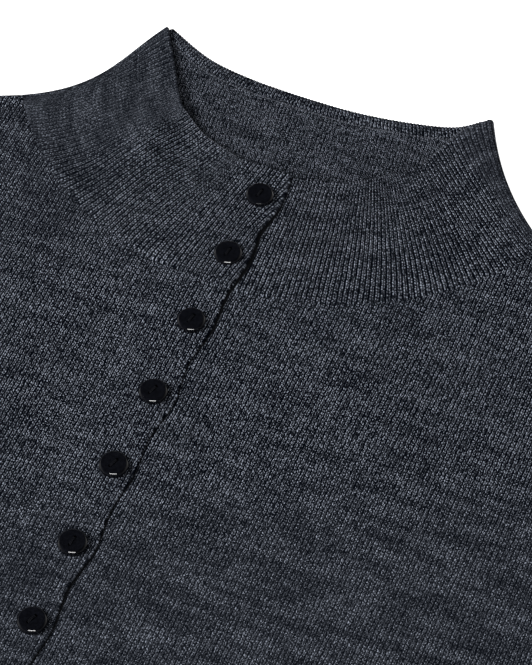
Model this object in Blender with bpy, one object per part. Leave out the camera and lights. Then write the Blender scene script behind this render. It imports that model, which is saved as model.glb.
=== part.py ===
# Fine-gauge pullover sweater with a ribbed funnel neck and a buttoned front placket, laid flat
# on a surface with its front up. +X is the wearer's left, +Y runs from the hem to the neck and
# +Z is up. The underside rests at Z 0, and the origin is in the middle of the garment's box.
# Lengths in this file are millimetres, turned into metres when each mesh is made.
import math

import bmesh
import bpy
from mathutils import Matrix, Vector

METRES = 0.001

# ---- cloth and layers
WALL = 1.5                    # thickness of the knit
SEAM_GAP = 0.35               # space between two pieces that meet
NECK_GAP = 0.6                # and along the curved neck seam
AIR = 0.9                     # air between the back layer and the front layer
BACK_LEVEL = WALL / 2         # middle of the wall that rests on the surface
FRONT_LEVEL = BACK_LEVEL + WALL + AIR
BAND_LEVEL = FRONT_LEVEL + WALL + SEAM_GAP
FOLD_RADIUS = (FRONT_LEVEL - BACK_LEVEL) / 2
FOLD_LEVEL = (FRONT_LEVEL + BACK_LEVEL) / 2

# ---- body
HEM_Y = -520.0
HEM_RIB_TOP = -460.0
UNDERARM = (233.0, -205.0)
SHOULDER_TIP = (199.0, -25.0)
SHOULDER_WRAP = 7.0           # the back panel comes over the shoulder to a seam on the front

# half width of the body: columns y, half width
BODY_SIDE = ((-520.0, 219.0), (-460.0, 221.0), (-400.0, 218.0), (-330.0, 216.0),
             (-265.0, 223.0), (-205.0, 233.0))

# armhole seam of the left side, from underarm to shoulder: columns x, y
ARMHOLE = (UNDERARM, (215.0, -192.0), (200.5, -160.0), (194.0, -115.0), (194.0, -68.0), SHOULDER_TIP)
ARMHOLE_STEPS = 60

# ---- neck and collar
FAN_CENTRE = (0.0, 86.0)      # the collar's front ribs spread from here
FAN_RADIUS = 143.5            # and end on this arc, where the front panel begins
BACK_NECK_HALF = 20.0         # straight middle of the back neck seam

# back neck seam, from the left shoulder to the right: columns x, y
BACK_NECK = ((126.0, 17.3), (95.0, 4.0), (58.0, -5.5), (20.0, -9.5), (-20.0, -9.5), (-58.0, -6.5),
             (-95.0, -2.0), (-122.0, 10.4))

# collar lines that run from the top edge to the seam, in order from the placket to the side fold:
# columns top x, top y, middle x, middle y, seam angle about the fan centre in degrees, edge lift
COLLAR_LEFT = ((7.9, 9.5, 8.0, -23.0, 3.2, 1.4),
               (22.0, 12.8, 26.0, -20.8, 12.0, 1.5),
               (36.0, 18.2, 43.5, -16.0, 20.5, 1.3),
               (45.0, 24.8, 59.0, -9.5, 28.8, 1.8),
               (52.0, 30.4, 73.0, 2.0, 38.8, 1.8),
               (59.5, 38.8, 83.5, 15.5, 48.0, 1.5),
               (64.8, 52.5, 90.0, 28.0, 55.0, 1.0),
               (70.0, 67.2, 94.3, 37.8, 59.2, 0.4),
               (79.9, 78.2, 98.1, 45.9, 61.4, 0.0))
COLLAR_RIGHT = ((-14.7, 10.8, -14.8, -22.0, 5.9, 1.4),
                (-22.5, 13.5, -33.5, -19.5, 16.0, 1.5),
                (-36.5, 19.8, -49.0, -10.5, 24.5, 1.6),
                (-46.0, 26.2, -62.0, -4.5, 33.0, 1.9),
                (-51.5, 30.5, -72.5, 1.5, 40.5, 2.2),
                (-57.0, 38.8, -82.5, 12.5, 48.5, 1.9),
                (-64.5, 52.2, -88.8, 25.0, 54.5, 1.0),
                (-78.3, 74.6, -92.5, 39.4, 58.2, 0.0))

# back of the collar, from the left fold to the right one: columns top x, top y, seam x
COLLAR_BACK = ((71.5, 72.8, 113.0), (63.0, 68.4, 101.0), (48.0, 63.3, 75.0), (22.0, 59.5, 35.0),
               (-6.0, 58.9, -8.0), (-32.0, 60.2, -47.0), (-54.0, 64.5, -82.0), (-70.5, 70.6, -109.5))

COLLAR_LEVELS = (0.0, 0.14, 0.36, 0.58, 0.80, 1.0)      # places down each line, from top to seam
COLLAR_FRONT_LINES = 14       # on each side of the placket
COLLAR_FRONT_REACH = 0.97     # where the last of them stands, just before the side fold
COLLAR_BACK_LINES = 13

TURNED_EDGE = 7.0             # width of the turned-in edge inside the collar
TURNED_WALL = 1.0
TURNED_INSET = 0.3            # from the collar's own edge
TURNED_SPAN = (0.12, 0.88)    # part of the back collar that it runs along
TURNED_LINES = 15

# ---- placket
SLOT_LEFT = -14.4             # the front panel is open between these two lines
SLOT_RIGHT = 7.6
PLACKET_END = -276.0
BAND_END_LAP = 4.0            # the buttonhole band runs on past the end of the opening
PLACKET_LIFT = 1.4            # the bands rise with the collar towards its top edge
PLACKET_TOP = 10.0
BAND_SEAM_X = -17.0           # outer edge of the buttonhole band, on the right front
BAND_EDGE_X = 9.7             # its free edge, out at each button and in between two of them
BAND_EDGE_WAVE = 1.0
BAND_NECK_WIDENING = 1.3      # it comes further out above the second button
BAND_TOP = 9.5
BAND_ROWS = 30
UNDER_BAND_TOP = 6.5
UNDER_BAND_ROWS = 24

# ---- buttons: 18-line, two holes
BUTTON_COUNT = 7
BUTTON_X = 1.4
BUTTON_TOP_Y = -6.6
BUTTON_FIRST_PITCH = 35.8
BUTTON_PITCH = 40.5
BUTTON_RADIUS = 5.75
BUTTON_THICK = 2.7
BUTTON_RIM = 1.05
BUTTON_DISH = 0.75
BUTTON_FOOT = 3.4             # radius of the flat middle of its underside
BUTTON_SIDES = 20
BUTTON_HOLE_RADIUS = 0.75
BUTTON_HOLE_PITCH = 4.2
BUTTON_TURNS = (10, 8, 12, 17, 20, 6, 22)       # degrees clockwise, as each was sewn on

# ---- sleeves: the cap fans out from the underarm, then a straight taper to the cuff
# columns top x, top y, under x, under y
SLEEVE_CAP = ((199.0, -25.0, 233.0, -205.0), (240.0, -45.0, 235.3, -207.5),
              (279.5, -67.5, 238.2, -210.8), (315.0, -93.5, 241.6, -214.4),
              (347.0, -123.0, 245.2, -218.2))
SLEEVE_CAP_BOW = (1.0, 0.72, 0.42, 0.18, 0.0)   # how much of the armhole's curve each row keeps
SLEEVE_SHIFT = (0.8, 0.25)
SLEEVE_LENGTH = 360.0         # from the last cap row to the cuff
SLEEVE_STEPS = 8
SLEEVE_ANGLES = (45.0, 52.0)  # degrees below +X at the upper arm and at the cuff
SLEEVE_CUFF_WIDTH = 95.0
CUFF_LENGTH = 60.0
CUFF_WIDTHS = (91.0, 84.0)
CUFF_STEPS = 3

# ---- rows and columns that the cloth is built from
LOWER_ROWS = (HEM_RIB_TOP + SEAM_GAP, -430.0, -385.0, -335.0, PLACKET_END, -240.0)
SLOT_ROW = LOWER_ROWS.index(PLACKET_END)
UPPER_ROWS = 5                # from the underarm to the neck
NECK_STEPS = 9                # rows of each half panel along the neck seam
ROW_FRACTIONS = (0.0, 0.16, 0.34, 0.52, 0.70, 0.86, 1.0)
CURL = (30.0, 56.0, 76.0)     # degrees of the side fold, up to the side seam
HEM_ROWS = (HEM_Y, -500.0, -480.0, HEM_RIB_TOP - SEAM_GAP)
HEM_COLUMNS = 12
SLEEVE_FRACTIONS = (0.0, 0.14, 0.32, 0.5, 0.68, 0.86, 1.0)

# soft folds of the front layer: columns x, y, half length, half width, heading in degrees, rise
FRONT_FOLDS = ((-56.0, 12.0, 22.0, 11.0, 82.0, 1.8),
               (46.0, 4.0, 26.0, 10.0, 72.0, 1.1),
               (-96.0, -95.0, 60.0, 26.0, 25.0, 1.2),
               (105.0, -120.0, 70.0, 30.0, -18.0, 1.3),
               (-60.0, -210.0, 70.0, 26.0, 14.0, 1.1),
               (120.0, -260.0, 80.0, 30.0, 8.0, 1.3),
               (-115.0, -330.0, 80.0, 32.0, -12.0, 1.3),
               (70.0, -395.0, 90.0, 34.0, 10.0, 1.4))
# soft folds of each sleeve: columns place along it 0 to 1, place across it 0 to 1, rise
SLEEVE_FOLDS = ((0.16, 0.70, 1.3), (0.38, 0.35, 1.2), (0.58, 0.62, 1.5), (0.82, 0.40, 1.1))
SLEEVE_FOLD_SPAN = (0.07, 0.30)


def clear_scene():
    for old in list(bpy.data.objects):
        bpy.data.objects.remove(old, do_unlink=True)


def make_material(name, colour, roughness, metallic=0.0):
    material = bpy.data.materials.new(name)
    material.use_nodes = True
    shader = material.node_tree.nodes["Principled BSDF"]
    shader.inputs["Base Color"].default_value = (*colour, 1.0)
    shader.inputs["Roughness"].default_value = roughness
    shader.inputs["Metallic"].default_value = metallic
    material.diffuse_color = (*colour, 1.0)
    return material


# ---------------------------------------------------------------- curves and small helpers

def mix(a, b, t):
    return a + (b - a) * t


def ease(t):
    t = max(0.0, min(1.0, t))
    return t * t * (3 - 2 * t)


def spline(points, t):
    """Point at t, 0 to 1, on a smooth curve through rows of numbers that are evenly spaced in t."""
    last = len(points) - 1
    place = max(0.0, min(1.0, t)) * last
    i = min(int(place), last - 1)
    u = place - i
    rows = [points[max(0, min(last, i + k))] for k in (-1, 0, 1, 2)]
    out = []
    for before, start, end, after in zip(*rows):
        slope_in = (end - before) / 2
        slope_out = (after - start) / 2
        out.append((2 * u ** 3 - 3 * u ** 2 + 1) * start + (u ** 3 - 2 * u ** 2 + u) * slope_in
                   + (3 * u ** 2 - 2 * u ** 3) * end + (u ** 3 - u ** 2) * slope_out)
    return out


def spaced(points, count):
    """count points, evenly spaced by length, on a smooth curve through the points."""
    fine = [Vector(spline(points, k / 200)) for k in range(201)]
    run = [0.0]
    for a, b in zip(fine, fine[1:]):
        run.append(run[-1] + (b - a).length)
    out = []
    for k in range(count):
        goal = run[-1] * k / (count - 1)
        i = max(j for j in range(200) if run[j] <= goal + 1e-9)
        out.append(fine[i].lerp(fine[i + 1], (goal - run[i]) / (run[i + 1] - run[i])))
    return out


def body_half(y):
    for (y0, w0), (y1, w1) in zip(BODY_SIDE, BODY_SIDE[1:]):
        if y <= y1:
            return mix(w0, w1, ease((y - y0) / (y1 - y0)))
    return BODY_SIDE[-1][1]


def fan_point(degrees, radius, side):
    angle = math.radians(degrees)
    return Vector((FAN_CENTRE[0] + side * radius * math.sin(angle),
                   FAN_CENTRE[1] - radius * math.cos(angle)))


def front_rise(x, y):
    rise = 0.0
    for fold_x, fold_y, long, wide, heading, height in FRONT_FOLDS:
        c, s = math.cos(math.radians(heading)), math.sin(math.radians(heading))
        along = (x - fold_x) * c + (y - fold_y) * s
        across = (y - fold_y) * c - (x - fold_x) * s
        rise += height * math.exp(-(along / long) ** 2 - (across / wide) ** 2)
    return rise


# ---------------------------------------------------------------- solids

def add_object(name, verts, faces, material):
    mesh = bpy.data.meshes.new(name)
    mesh.from_pydata([Vector(v) * METRES for v in verts], [], faces)
    work = bmesh.new()
    work.from_mesh(mesh)
    bmesh.ops.recalc_face_normals(work, faces=work.faces[:])
    work.to_mesh(mesh)
    work.free()
    mesh.shade_smooth()
    mesh.set_sharp_from_angle(angle=math.radians(50))
    mesh.materials.append(material)
    obj = bpy.data.objects.new(name, mesh)
    bpy.context.scene.collection.objects.link(obj)
    return obj


def grid_normal(grid, i, j, round_trip):
    rows, cols = len(grid), len(grid[0])
    if round_trip:
        left, right = (j - 1) % cols, (j + 1) % cols
    else:
        left, right = max(j - 1, 0), min(j + 1, cols - 1)
    across = grid[i][right] - grid[i][left]
    along = grid[min(i + 1, rows - 1)][j] - grid[max(i - 1, 0)][j]
    return across.cross(along).normalized()


def sheet(name, grid, material, wall=WALL, round_trip=False, keep=None):
    """A closed wall around the grid's middle surface; keep(i, j) says which cells have cloth."""
    rows, cols = len(grid), len(grid[0])
    cells = [(i, j) for i in range(rows - 1) for j in range(cols if round_trip else cols - 1)
             if keep is None or keep(i, j)]
    quads = [((i, j), (i, (j + 1) % cols), (i + 1, (j + 1) % cols), (i + 1, j)) for i, j in cells]
    used = sorted({corner for quad in quads for corner in quad})
    number = {corner: k for k, corner in enumerate(used)}
    verts = []
    for half in (wall / 2, -wall / 2):
        for i, j in used:
            verts.append(grid[i][j] + grid_normal(grid, i, j, round_trip) * half)
    under = len(used)
    faces = []
    edges = {}
    for quad in quads:
        ids = [number[corner] for corner in quad]
        faces.append(ids)
        faces.append([k + under for k in reversed(ids)])
        for a, b in zip(ids, ids[1:] + ids[:1]):
            edges[(a, b)] = True
    for a, b in edges:
        if (b, a) not in edges:
            faces.append([b, a, a + under, b + under])
    return add_object(name, verts, faces, material)


def flat_tube(name, sections, material):
    """A flattened tube of cloth with open ends; each section runs from one side fold to the other."""
    grid = []
    for front, rise in sections:
        first, last = front[0], front[-1]
        out_first = (first - front[1]).normalized()
        out_last = (last - front[-2]).normalized()
        ring = []
        for k, place in enumerate(front):
            ring.append(Vector((place.x, place.y, FRONT_LEVEL + rise[k])))
        for turn in (45, 90, 135):
            a = math.radians(turn)
            p = last + out_last * FOLD_RADIUS * math.sin(a)
            ring.append(Vector((p.x, p.y, FOLD_LEVEL + FOLD_RADIUS * math.cos(a))))
        for place in reversed(front):
            ring.append(Vector((place.x, place.y, BACK_LEVEL)))
        for turn in (135, 90, 45):
            a = math.radians(turn)
            p = first + out_first * FOLD_RADIUS * math.sin(a)
            ring.append(Vector((p.x, p.y, FOLD_LEVEL + FOLD_RADIUS * math.cos(a))))
        grid.append(ring)
    return sheet(name, grid, material, round_trip=True)


# ---------------------------------------------------------------- front and back panels

def shoulder_end(side, inset):
    """Point of the armhole seam that is inset from the shoulder fold."""
    armhole = spaced(ARMHOLE, ARMHOLE_STEPS + 1)
    fold = Vector(SHOULDER_TIP)
    tip = armhole[-1]
    for a, b in zip(reversed(armhole[:-1]), reversed(armhole)):
        if (fold - a).length >= inset:
            share = (inset - (fold - b).length) / (a - b).length
            tip = b.lerp(a, min(1.0, max(0.0, share)))
            break
    return Vector((side * tip.x, tip.y))


def armhole_line(side, inset, count):
    """The armhole seam from the underarm to a point inset from the shoulder fold."""
    fold = Vector(SHOULDER_TIP)
    points = [p for p in spaced(ARMHOLE, ARMHOLE_STEPS + 1) if (p - fold).length > inset + SEAM_GAP]
    points.append(shoulder_end(1, inset))
    return [Vector((side * p.x, p.y)) for p in spaced([tuple(p) for p in points], count)]


def row_places(inner, outer, fractions):
    """Flat places along a row, the last one a fold's radius inside the outer end."""
    run = (outer - inner).length
    reach = (run - FOLD_RADIUS) / run
    return [inner.lerp(outer, reach * f) for f in fractions]


def half_row(side, inner, outer, curl, level, toward, rise):
    """Points of one row from its inner end out to the side seam or the armhole."""
    points = []
    for place in row_places(inner, outer, ROW_FRACTIONS):
        height = level + (rise(place.x, place.y) if rise else 0.0)
        points.append(Vector((place.x, place.y, height)))
    base = points[-1].copy()
    direction = Vector((outer.x - inner.x, outer.y - inner.y, 0)).normalized()
    for turn in CURL:
        a = math.radians(turn)
        flat = base + direction * FOLD_RADIUS * (turn / CURL[-1])
        bent = base + direction * FOLD_RADIUS * math.sin(a)
        bent.z = FOLD_LEVEL + toward * mix(SEAM_GAP, FOLD_RADIUS, math.cos(a))
        points.append(flat.lerp(bent, curl))
    return points


def panel_rows(side, centre_x, neck_line, level, toward, rise, top_inset):
    """Rows of half a panel from the hem rib to the shoulder."""
    rows = []
    for y in LOWER_ROWS:
        rows.append(half_row(side, Vector((centre_x, y)), Vector((side * body_half(y), y)),
                             1.0, level, toward, rise))
    neck = neck_line(side)
    inner = [Vector((centre_x, mix(UNDERARM[1], neck[0].y, k / UPPER_ROWS)))
             for k in range(UPPER_ROWS)]
    inner += neck
    outer = armhole_line(side, top_inset, len(inner))
    for k, (a, b) in enumerate(zip(inner, outer)):
        rows.append(half_row(side, a, b, 1.0 if k == 0 else 0.0, level, toward, rise))
    return rows


def front_neck(side):
    """The front's neck edge, from the placket slot round the fan's arc to the shoulder seam."""
    table = COLLAR_LEFT if side > 0 else COLLAR_RIGHT
    radius = FAN_RADIUS + NECK_GAP
    start = math.degrees(math.asin((SLOT_RIGHT if side > 0 else -SLOT_LEFT) / radius))
    end = table[-1][4] - math.degrees((SHOULDER_WRAP + SEAM_GAP) / FAN_RADIUS)
    return [fan_point(mix(start, end, k / NECK_STEPS), radius, side) for k in range(NECK_STEPS + 1)]


def back_neck(side):
    """The back's neck edge, from its straight middle out to the shoulder fold."""
    points = [p for p in BACK_NECK if p[0] * side > 0]
    if side > 0:
        points.reverse()
    return [p - Vector((0, NECK_GAP)) for p in spaced(points, NECK_STEPS + 1)]


def front_panel(material):
    inset = SHOULDER_WRAP + SEAM_GAP
    right = panel_rows(-1, SLOT_LEFT, front_neck, FRONT_LEVEL, 1, front_rise, inset)
    left = panel_rows(1, SLOT_RIGHT, front_neck, FRONT_LEVEL, 1, front_rise, inset)
    grid = [list(reversed(a)) + b for a, b in zip(right, left)]
    middle = len(right[0]) - 1
    return sheet("front_panel", grid, material, keep=lambda i, j: j != middle or i < SLOT_ROW)


def back_panel(material):
    halves = []
    for side in (-1, 1):
        rows = panel_rows(side, side * BACK_NECK_HALF, back_neck, BACK_LEVEL, -1, None, FOLD_RADIUS)
        halves.append(rows + shoulder_wrap(side, rows[-1]))
    grid = [list(reversed(a)) + b for a, b in zip(*halves)]
    middle = len(halves[0][0]) - 1
    neck_row = len(LOWER_ROWS) + UPPER_ROWS
    return sheet("back_panel", grid, material, keep=lambda i, j: j != middle or i < neck_row)


def shoulder_wrap(side, last_row):
    """Rows that carry the back panel over the shoulder to the seam on the front."""
    table = COLLAR_LEFT if side > 0 else COLLAR_RIGHT
    fold_neck = fan_point(table[-1][4], FAN_RADIUS + NECK_GAP, side)
    seam_neck = fan_point(table[-1][4] - math.degrees(SHOULDER_WRAP / FAN_RADIUS),
                          FAN_RADIUS + NECK_GAP, side)
    tip = Vector((side * SHOULDER_TIP[0], SHOULDER_TIP[1]))
    seam_tip = shoulder_end(side, SHOULDER_WRAP)
    wide = len(last_row) - 1
    rows = []
    for turn in (45, 90, 135, 180):
        a = math.radians(turn)
        inset = FOLD_RADIUS * (1 - math.sin(a)) / SHOULDER_WRAP
        near, far = fold_neck.lerp(seam_neck, inset), tip.lerp(seam_tip, inset)
        level = FOLD_LEVEL - FOLD_RADIUS * math.cos(a)
        row = [near.lerp(far, k / wide) for k in range(wide + 1)]
        rows.append([Vector((p.x, p.y, level)) for p in row])
    row = [seam_neck.lerp(seam_tip, k / wide) for k in range(wide + 1)]
    rows.append([Vector((p.x, p.y, FRONT_LEVEL + front_rise(p.x, p.y))) for p in row])
    return rows


# ---------------------------------------------------------------- collar

def line_point(top, middle, seam, t):
    """Point at t on the curve through a collar line's top, middle and seam."""
    return top * (2 * t - 1) * (t - 1) + middle * 4 * t * (1 - t) + seam * t * (2 * t - 1)


def front_line(table, place, side):
    top_x, top_y, mid_x, mid_y, angle, lift = spline(table, place)
    top, middle = Vector((top_x, top_y)), Vector((mid_x, mid_y))
    seam = fan_point(angle, FAN_RADIUS, side)
    points = []
    for t in COLLAR_LEVELS:
        p = line_point(top, middle, seam, t)
        height = FRONT_LEVEL + lift * (1 - t) ** 1.5 + front_rise(p.x, p.y)
        points.append(Vector((p.x, p.y, height)))
    return points


def back_seam_y(x):
    """Height of the back neck seam at x."""
    side = 1 if x > 0 else -1
    line = [p + Vector((0, NECK_GAP)) for p in back_neck(side)]
    for a, b in zip(line, line[1:]):
        if abs(x) <= abs(b.x):
            return mix(a.y, b.y, max(0.0, (x - a.x) / (b.x - a.x)))
    return line[-1].y


def back_line(top_x, top_y, seam_x):
    top = Vector((top_x, top_y, BACK_LEVEL))
    seam = Vector((seam_x, back_seam_y(seam_x), BACK_LEVEL))
    return [top.lerp(seam, t) for t in COLLAR_LEVELS]


def fold_lines(table, side):
    """The collar's lines round its side fold, from the front layer to the back layer."""
    edge = front_line(table, 1.0, side)
    inner = front_line(table, 0.93, side)
    lines = []
    for turn in (0, 45, 90, 135, 180):
        a = math.radians(turn)
        line = []
        for p, q in zip(edge, inner):
            outward = Vector((p.x - q.x, p.y - q.y, 0)).normalized()
            outward = (outward + Vector((side * 0.6, 0.4, 0)).normalized()).normalized()
            place = p - outward * FOLD_RADIUS * (1 - math.sin(a))
            place.z = FOLD_LEVEL + FOLD_RADIUS * math.cos(a)
            line.append(place)
        lines.append(line)
    return lines


def collar(material):
    places = [k / COLLAR_FRONT_LINES * COLLAR_FRONT_REACH for k in range(COLLAR_FRONT_LINES)]
    last = COLLAR_BACK_LINES - 1
    lines = [front_line(COLLAR_LEFT, place, 1) for place in places]
    lines += fold_lines(COLLAR_LEFT, 1)
    lines += [back_line(*spline(COLLAR_BACK, k / last)) for k in range(COLLAR_BACK_LINES)]
    lines += reversed(fold_lines(COLLAR_RIGHT, -1))
    lines += [front_line(COLLAR_RIGHT, place, -1) for place in reversed(places)]
    return sheet("collar", lines, material)


def turned_edge(material):
    """The collar's top edge turned in and linked down inside the back neck."""
    lift = WALL / 2 + SEAM_GAP + TURNED_WALL / 2
    lines = []
    for k in range(TURNED_LINES):
        line = back_line(*spline(COLLAR_BACK, mix(*TURNED_SPAN, k / (TURNED_LINES - 1))))
        down = (line[-1] - line[0]).normalized()
        base = line[0] + Vector((0, 0, lift))
        lines.append([base + down * t for t in (TURNED_INSET, TURNED_EDGE / 2, TURNED_EDGE)])
    return sheet("collar_turned_edge", lines, material, wall=TURNED_WALL)


# ---------------------------------------------------------------- placket

def button_places():
    y = BUTTON_TOP_Y
    places = [y]
    for k in range(BUTTON_COUNT - 1):
        y -= BUTTON_FIRST_PITCH if k == 0 else BUTTON_PITCH
        places.append(y)
    return places


def band_edge(y):
    """X of the buttonhole band's free edge."""
    places = button_places()
    near = min(places, key=lambda place: abs(place - y))
    wave = math.cos(math.pi * min(1.0, abs(near - y) / (BUTTON_PITCH / 2)))
    neck = BAND_NECK_WIDENING * ease((y + 50.0) / 40.0)
    return BAND_EDGE_X + BAND_EDGE_WAVE * wave + neck


def overlap_band(material):
    """The buttonhole band: it lies on the right front and laps over the left one."""
    grid = []
    for k in range(BAND_ROWS):
        y = mix(PLACKET_END - BAND_END_LAP, BAND_TOP, k / (BAND_ROWS - 1))
        row = []
        for f in (0.0, 0.25, 0.5, 0.75, 1.0):
            x = mix(BAND_SEAM_X, band_edge(y), f)
            row.append(Vector((x, y, BAND_LEVEL + placket_height(x, y))))
        grid.append(row)
    return sheet("placket_buttonhole_band", grid, material)


def under_band(material):
    """The button band: it fills the front's opening and carries the buttons."""
    grid = []
    for k in range(UNDER_BAND_ROWS):
        y = mix(PLACKET_END + SEAM_GAP, UNDER_BAND_TOP, k / (UNDER_BAND_ROWS - 1))
        row = []
        for f in (0.0, 0.5, 1.0):
            x = mix(SLOT_LEFT + SEAM_GAP, SLOT_RIGHT - SEAM_GAP, f)
            row.append(Vector((x, y, FRONT_LEVEL + placket_height(x, y))))
        grid.append(row)
    return sheet("placket_button_band", grid, material)


def placket_height(x, y):
    """Rise of the bands, which follow the front layer and the collar's lifted edge."""
    reach = FAN_CENTRE[1] - FAN_RADIUS
    t = max(0.0, min(1.0, (y - reach) / (PLACKET_TOP - reach)))
    return front_rise(x, y) + PLACKET_LIFT * t ** 1.5


# ---------------------------------------------------------------- buttons

def button_mesh(material):
    """A dished button with a raised rim and two holes, its underside at the mesh's origin."""
    floor = BUTTON_THICK - BUTTON_DISH
    profile = ((0.0, 0.0), (BUTTON_FOOT, 0.0), (BUTTON_RADIUS - 0.55, 0.5), (BUTTON_RADIUS, 1.5),
               (BUTTON_RADIUS - 0.1, 2.3),
               (BUTTON_RADIUS - 0.5, BUTTON_THICK), (BUTTON_RADIUS - BUTTON_RIM, 2.5),
               (BUTTON_RADIUS - BUTTON_RIM - 0.7, floor + 0.05), (0.0, floor))
    work = bmesh.new()
    rings = []
    for radius, height in profile:
        if radius == 0.0:
            rings.append([work.verts.new((0, 0, height))])
            continue
        angles = [2 * math.pi * k / BUTTON_SIDES for k in range(BUTTON_SIDES)]
        places = [(radius * math.cos(a), radius * math.sin(a), height) for a in angles]
        rings.append([work.verts.new(place) for place in places])
    for low, high in zip(rings, rings[1:]):
        for k in range(BUTTON_SIDES):
            n = (k + 1) % BUTTON_SIDES
            corners = [low[k % len(low)], low[n % len(low)], high[n % len(high)], high[k % len(high)]]
            work.faces.new(list(dict.fromkeys(corners)))
    bmesh.ops.recalc_face_normals(work, faces=work.faces[:])
    mesh = bpy.data.meshes.new("button_blank")
    work.to_mesh(mesh)
    work.free()
    mesh.materials.append(material)
    blank = bpy.data.objects.new("button_blank", mesh)
    bpy.context.scene.collection.objects.link(blank)
    cutters = []
    for side in (-1, 1):
        bpy.ops.mesh.primitive_cylinder_add(
            vertices=10, radius=BUTTON_HOLE_RADIUS, depth=3 * BUTTON_THICK,
            location=(0, side * BUTTON_HOLE_PITCH / 2, 0), rotation=(0, 0, 0.1))
        cutter = bpy.context.object
        cut = blank.modifiers.new("hole", "BOOLEAN")
        cut.operation = "DIFFERENCE"
        cut.object = cutter
        cutters.append(cutter)
    solid = blank.evaluated_get(bpy.context.evaluated_depsgraph_get())
    drilled = bpy.data.meshes.new_from_object(solid)
    drilled.name = "button"
    drilled.transform(Matrix.Scale(METRES, 4))
    for spare in [blank] + cutters:
        bpy.data.objects.remove(spare, do_unlink=True)
    drilled.shade_smooth()
    drilled.set_sharp_from_angle(angle=math.radians(40))
    return drilled


def buttons(material):
    mesh = button_mesh(material)
    for k, (y, turn) in enumerate(zip(button_places(), BUTTON_TURNS)):
        obj = bpy.data.objects.new(f"button_{k + 1}", mesh)
        seat = [placket_height(BUTTON_X + dx, y + dy)
                for dx in (-BUTTON_FOOT, 0, BUTTON_FOOT) for dy in (-BUTTON_FOOT, 0, BUTTON_FOOT)]
        height = BAND_LEVEL + WALL / 2 + SEAM_GAP + max(seat)
        obj.location = (BUTTON_X * METRES, y * METRES, height * METRES)
        obj.rotation_euler = (0, 0, -math.radians(turn))
        bpy.context.scene.collection.objects.link(obj)


# ---------------------------------------------------------------- hem, sleeves and cuffs

def hem_rib(material):
    sections = []
    for y in HEM_ROWS:
        half = body_half(y) - FOLD_RADIUS
        front = [Vector((mix(-half, half, k / HEM_COLUMNS), y)) for k in range(HEM_COLUMNS + 1)]
        sections.append((front, [front_rise(p.x, p.y) for p in front]))
    return flat_tube("hem_rib", sections, material)


def sleeve_rise(along, across):
    rise = 0.0
    for place, side, height in SLEEVE_FOLDS:
        rise += height * math.exp(-((along - place) / SLEEVE_FOLD_SPAN[0]) ** 2
                                  - ((across - side) / SLEEVE_FOLD_SPAN[1]) ** 2)
    return rise * math.sin(math.pi * across)


def sleeve_ends():
    """Top and under edge of each sleeve row, from the armhole to the cuff."""
    rows = [(Vector(row[:2]), Vector(row[2:])) for row in SLEEVE_CAP]
    top, under = rows[-1]
    centre, half = (top + under) / 2, (top - under).length / 2
    step = SLEEVE_LENGTH / SLEEVE_STEPS
    for k in range(1, SLEEVE_STEPS + 1):
        t = k / SLEEVE_STEPS
        angle = math.radians(mix(*SLEEVE_ANGLES, t))
        centre = centre + Vector((math.cos(angle), -math.sin(angle))) * step
        wide = mix(half, SLEEVE_CUFF_WIDTH / 2, t)
        out = Vector((math.sin(angle), math.cos(angle))) * wide
        rows.append((centre + out, centre - out))
    return rows


def tube_front(top, under, fractions, bow=None):
    """Places across a tube's front layer, a fold's radius inside both edges."""
    run = (under - top).length
    places = []
    for k, f in enumerate(fractions):
        t = mix(FOLD_RADIUS / run, 1 - FOLD_RADIUS / run, f)
        places.append(top.lerp(under, t) + (bow[k] if bow else Vector((0, 0))))
    return places


def sleeve(name, side, material):
    hole = spaced(ARMHOLE, ARMHOLE_STEPS + 1)
    hole.reverse()
    ends = sleeve_ends()
    sections = []
    for row, (top, under) in enumerate(ends):
        share = SLEEVE_CAP_BOW[row] if row < len(SLEEVE_CAP_BOW) else 0.0
        bow = []
        for f in SLEEVE_FRACTIONS:
            chord = hole[0].lerp(hole[-1], f)
            bow.append((hole[round(f * ARMHOLE_STEPS)] - chord) * share)
        places = tube_front(top + Vector(SLEEVE_SHIFT), under + Vector(SLEEVE_SHIFT),
                            SLEEVE_FRACTIONS, bow)
        places = [Vector((side * p.x, p.y)) for p in places]
        rise = [sleeve_rise(row / (len(ends) - 1), f) for f in SLEEVE_FRACTIONS]
        sections.append((places, rise))
    return flat_tube(name, sections, material)


def cuff(name, side, material):
    top, under = sleeve_ends()[-1]
    centre = (top + under) / 2 + Vector(SLEEVE_SHIFT)
    angle = math.radians(SLEEVE_ANGLES[1])
    along = Vector((math.cos(angle), -math.sin(angle)))
    out = Vector((math.sin(angle), math.cos(angle)))
    sections = []
    for k in range(CUFF_STEPS + 1):
        t = k / CUFF_STEPS
        middle = centre + along * mix(SEAM_GAP, CUFF_LENGTH, t)
        wide = mix(*CUFF_WIDTHS, math.sqrt(t)) / 2
        places = tube_front(middle + out * wide, middle - out * wide, SLEEVE_FRACTIONS)
        places = [Vector((side * p.x, p.y)) for p in places]
        sections.append((places, [0.0] * len(places)))
    return flat_tube(name, sections, material)


def centre_on_origin():
    """Moves every piece so that the origin is under the middle of the garment's box."""
    bpy.context.view_layer.update()
    corners = [obj.matrix_world @ vert.co for obj in bpy.data.objects for vert in obj.data.vertices]
    shift = Vector((0, 0, 0))
    for axis in (0, 1):
        values = [corner[axis] for corner in corners]
        shift[axis] = -(min(values) + max(values)) / 2
    shift[2] = -min(corner[2] for corner in corners)
    for obj in bpy.data.objects:
        obj.location += shift


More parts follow.
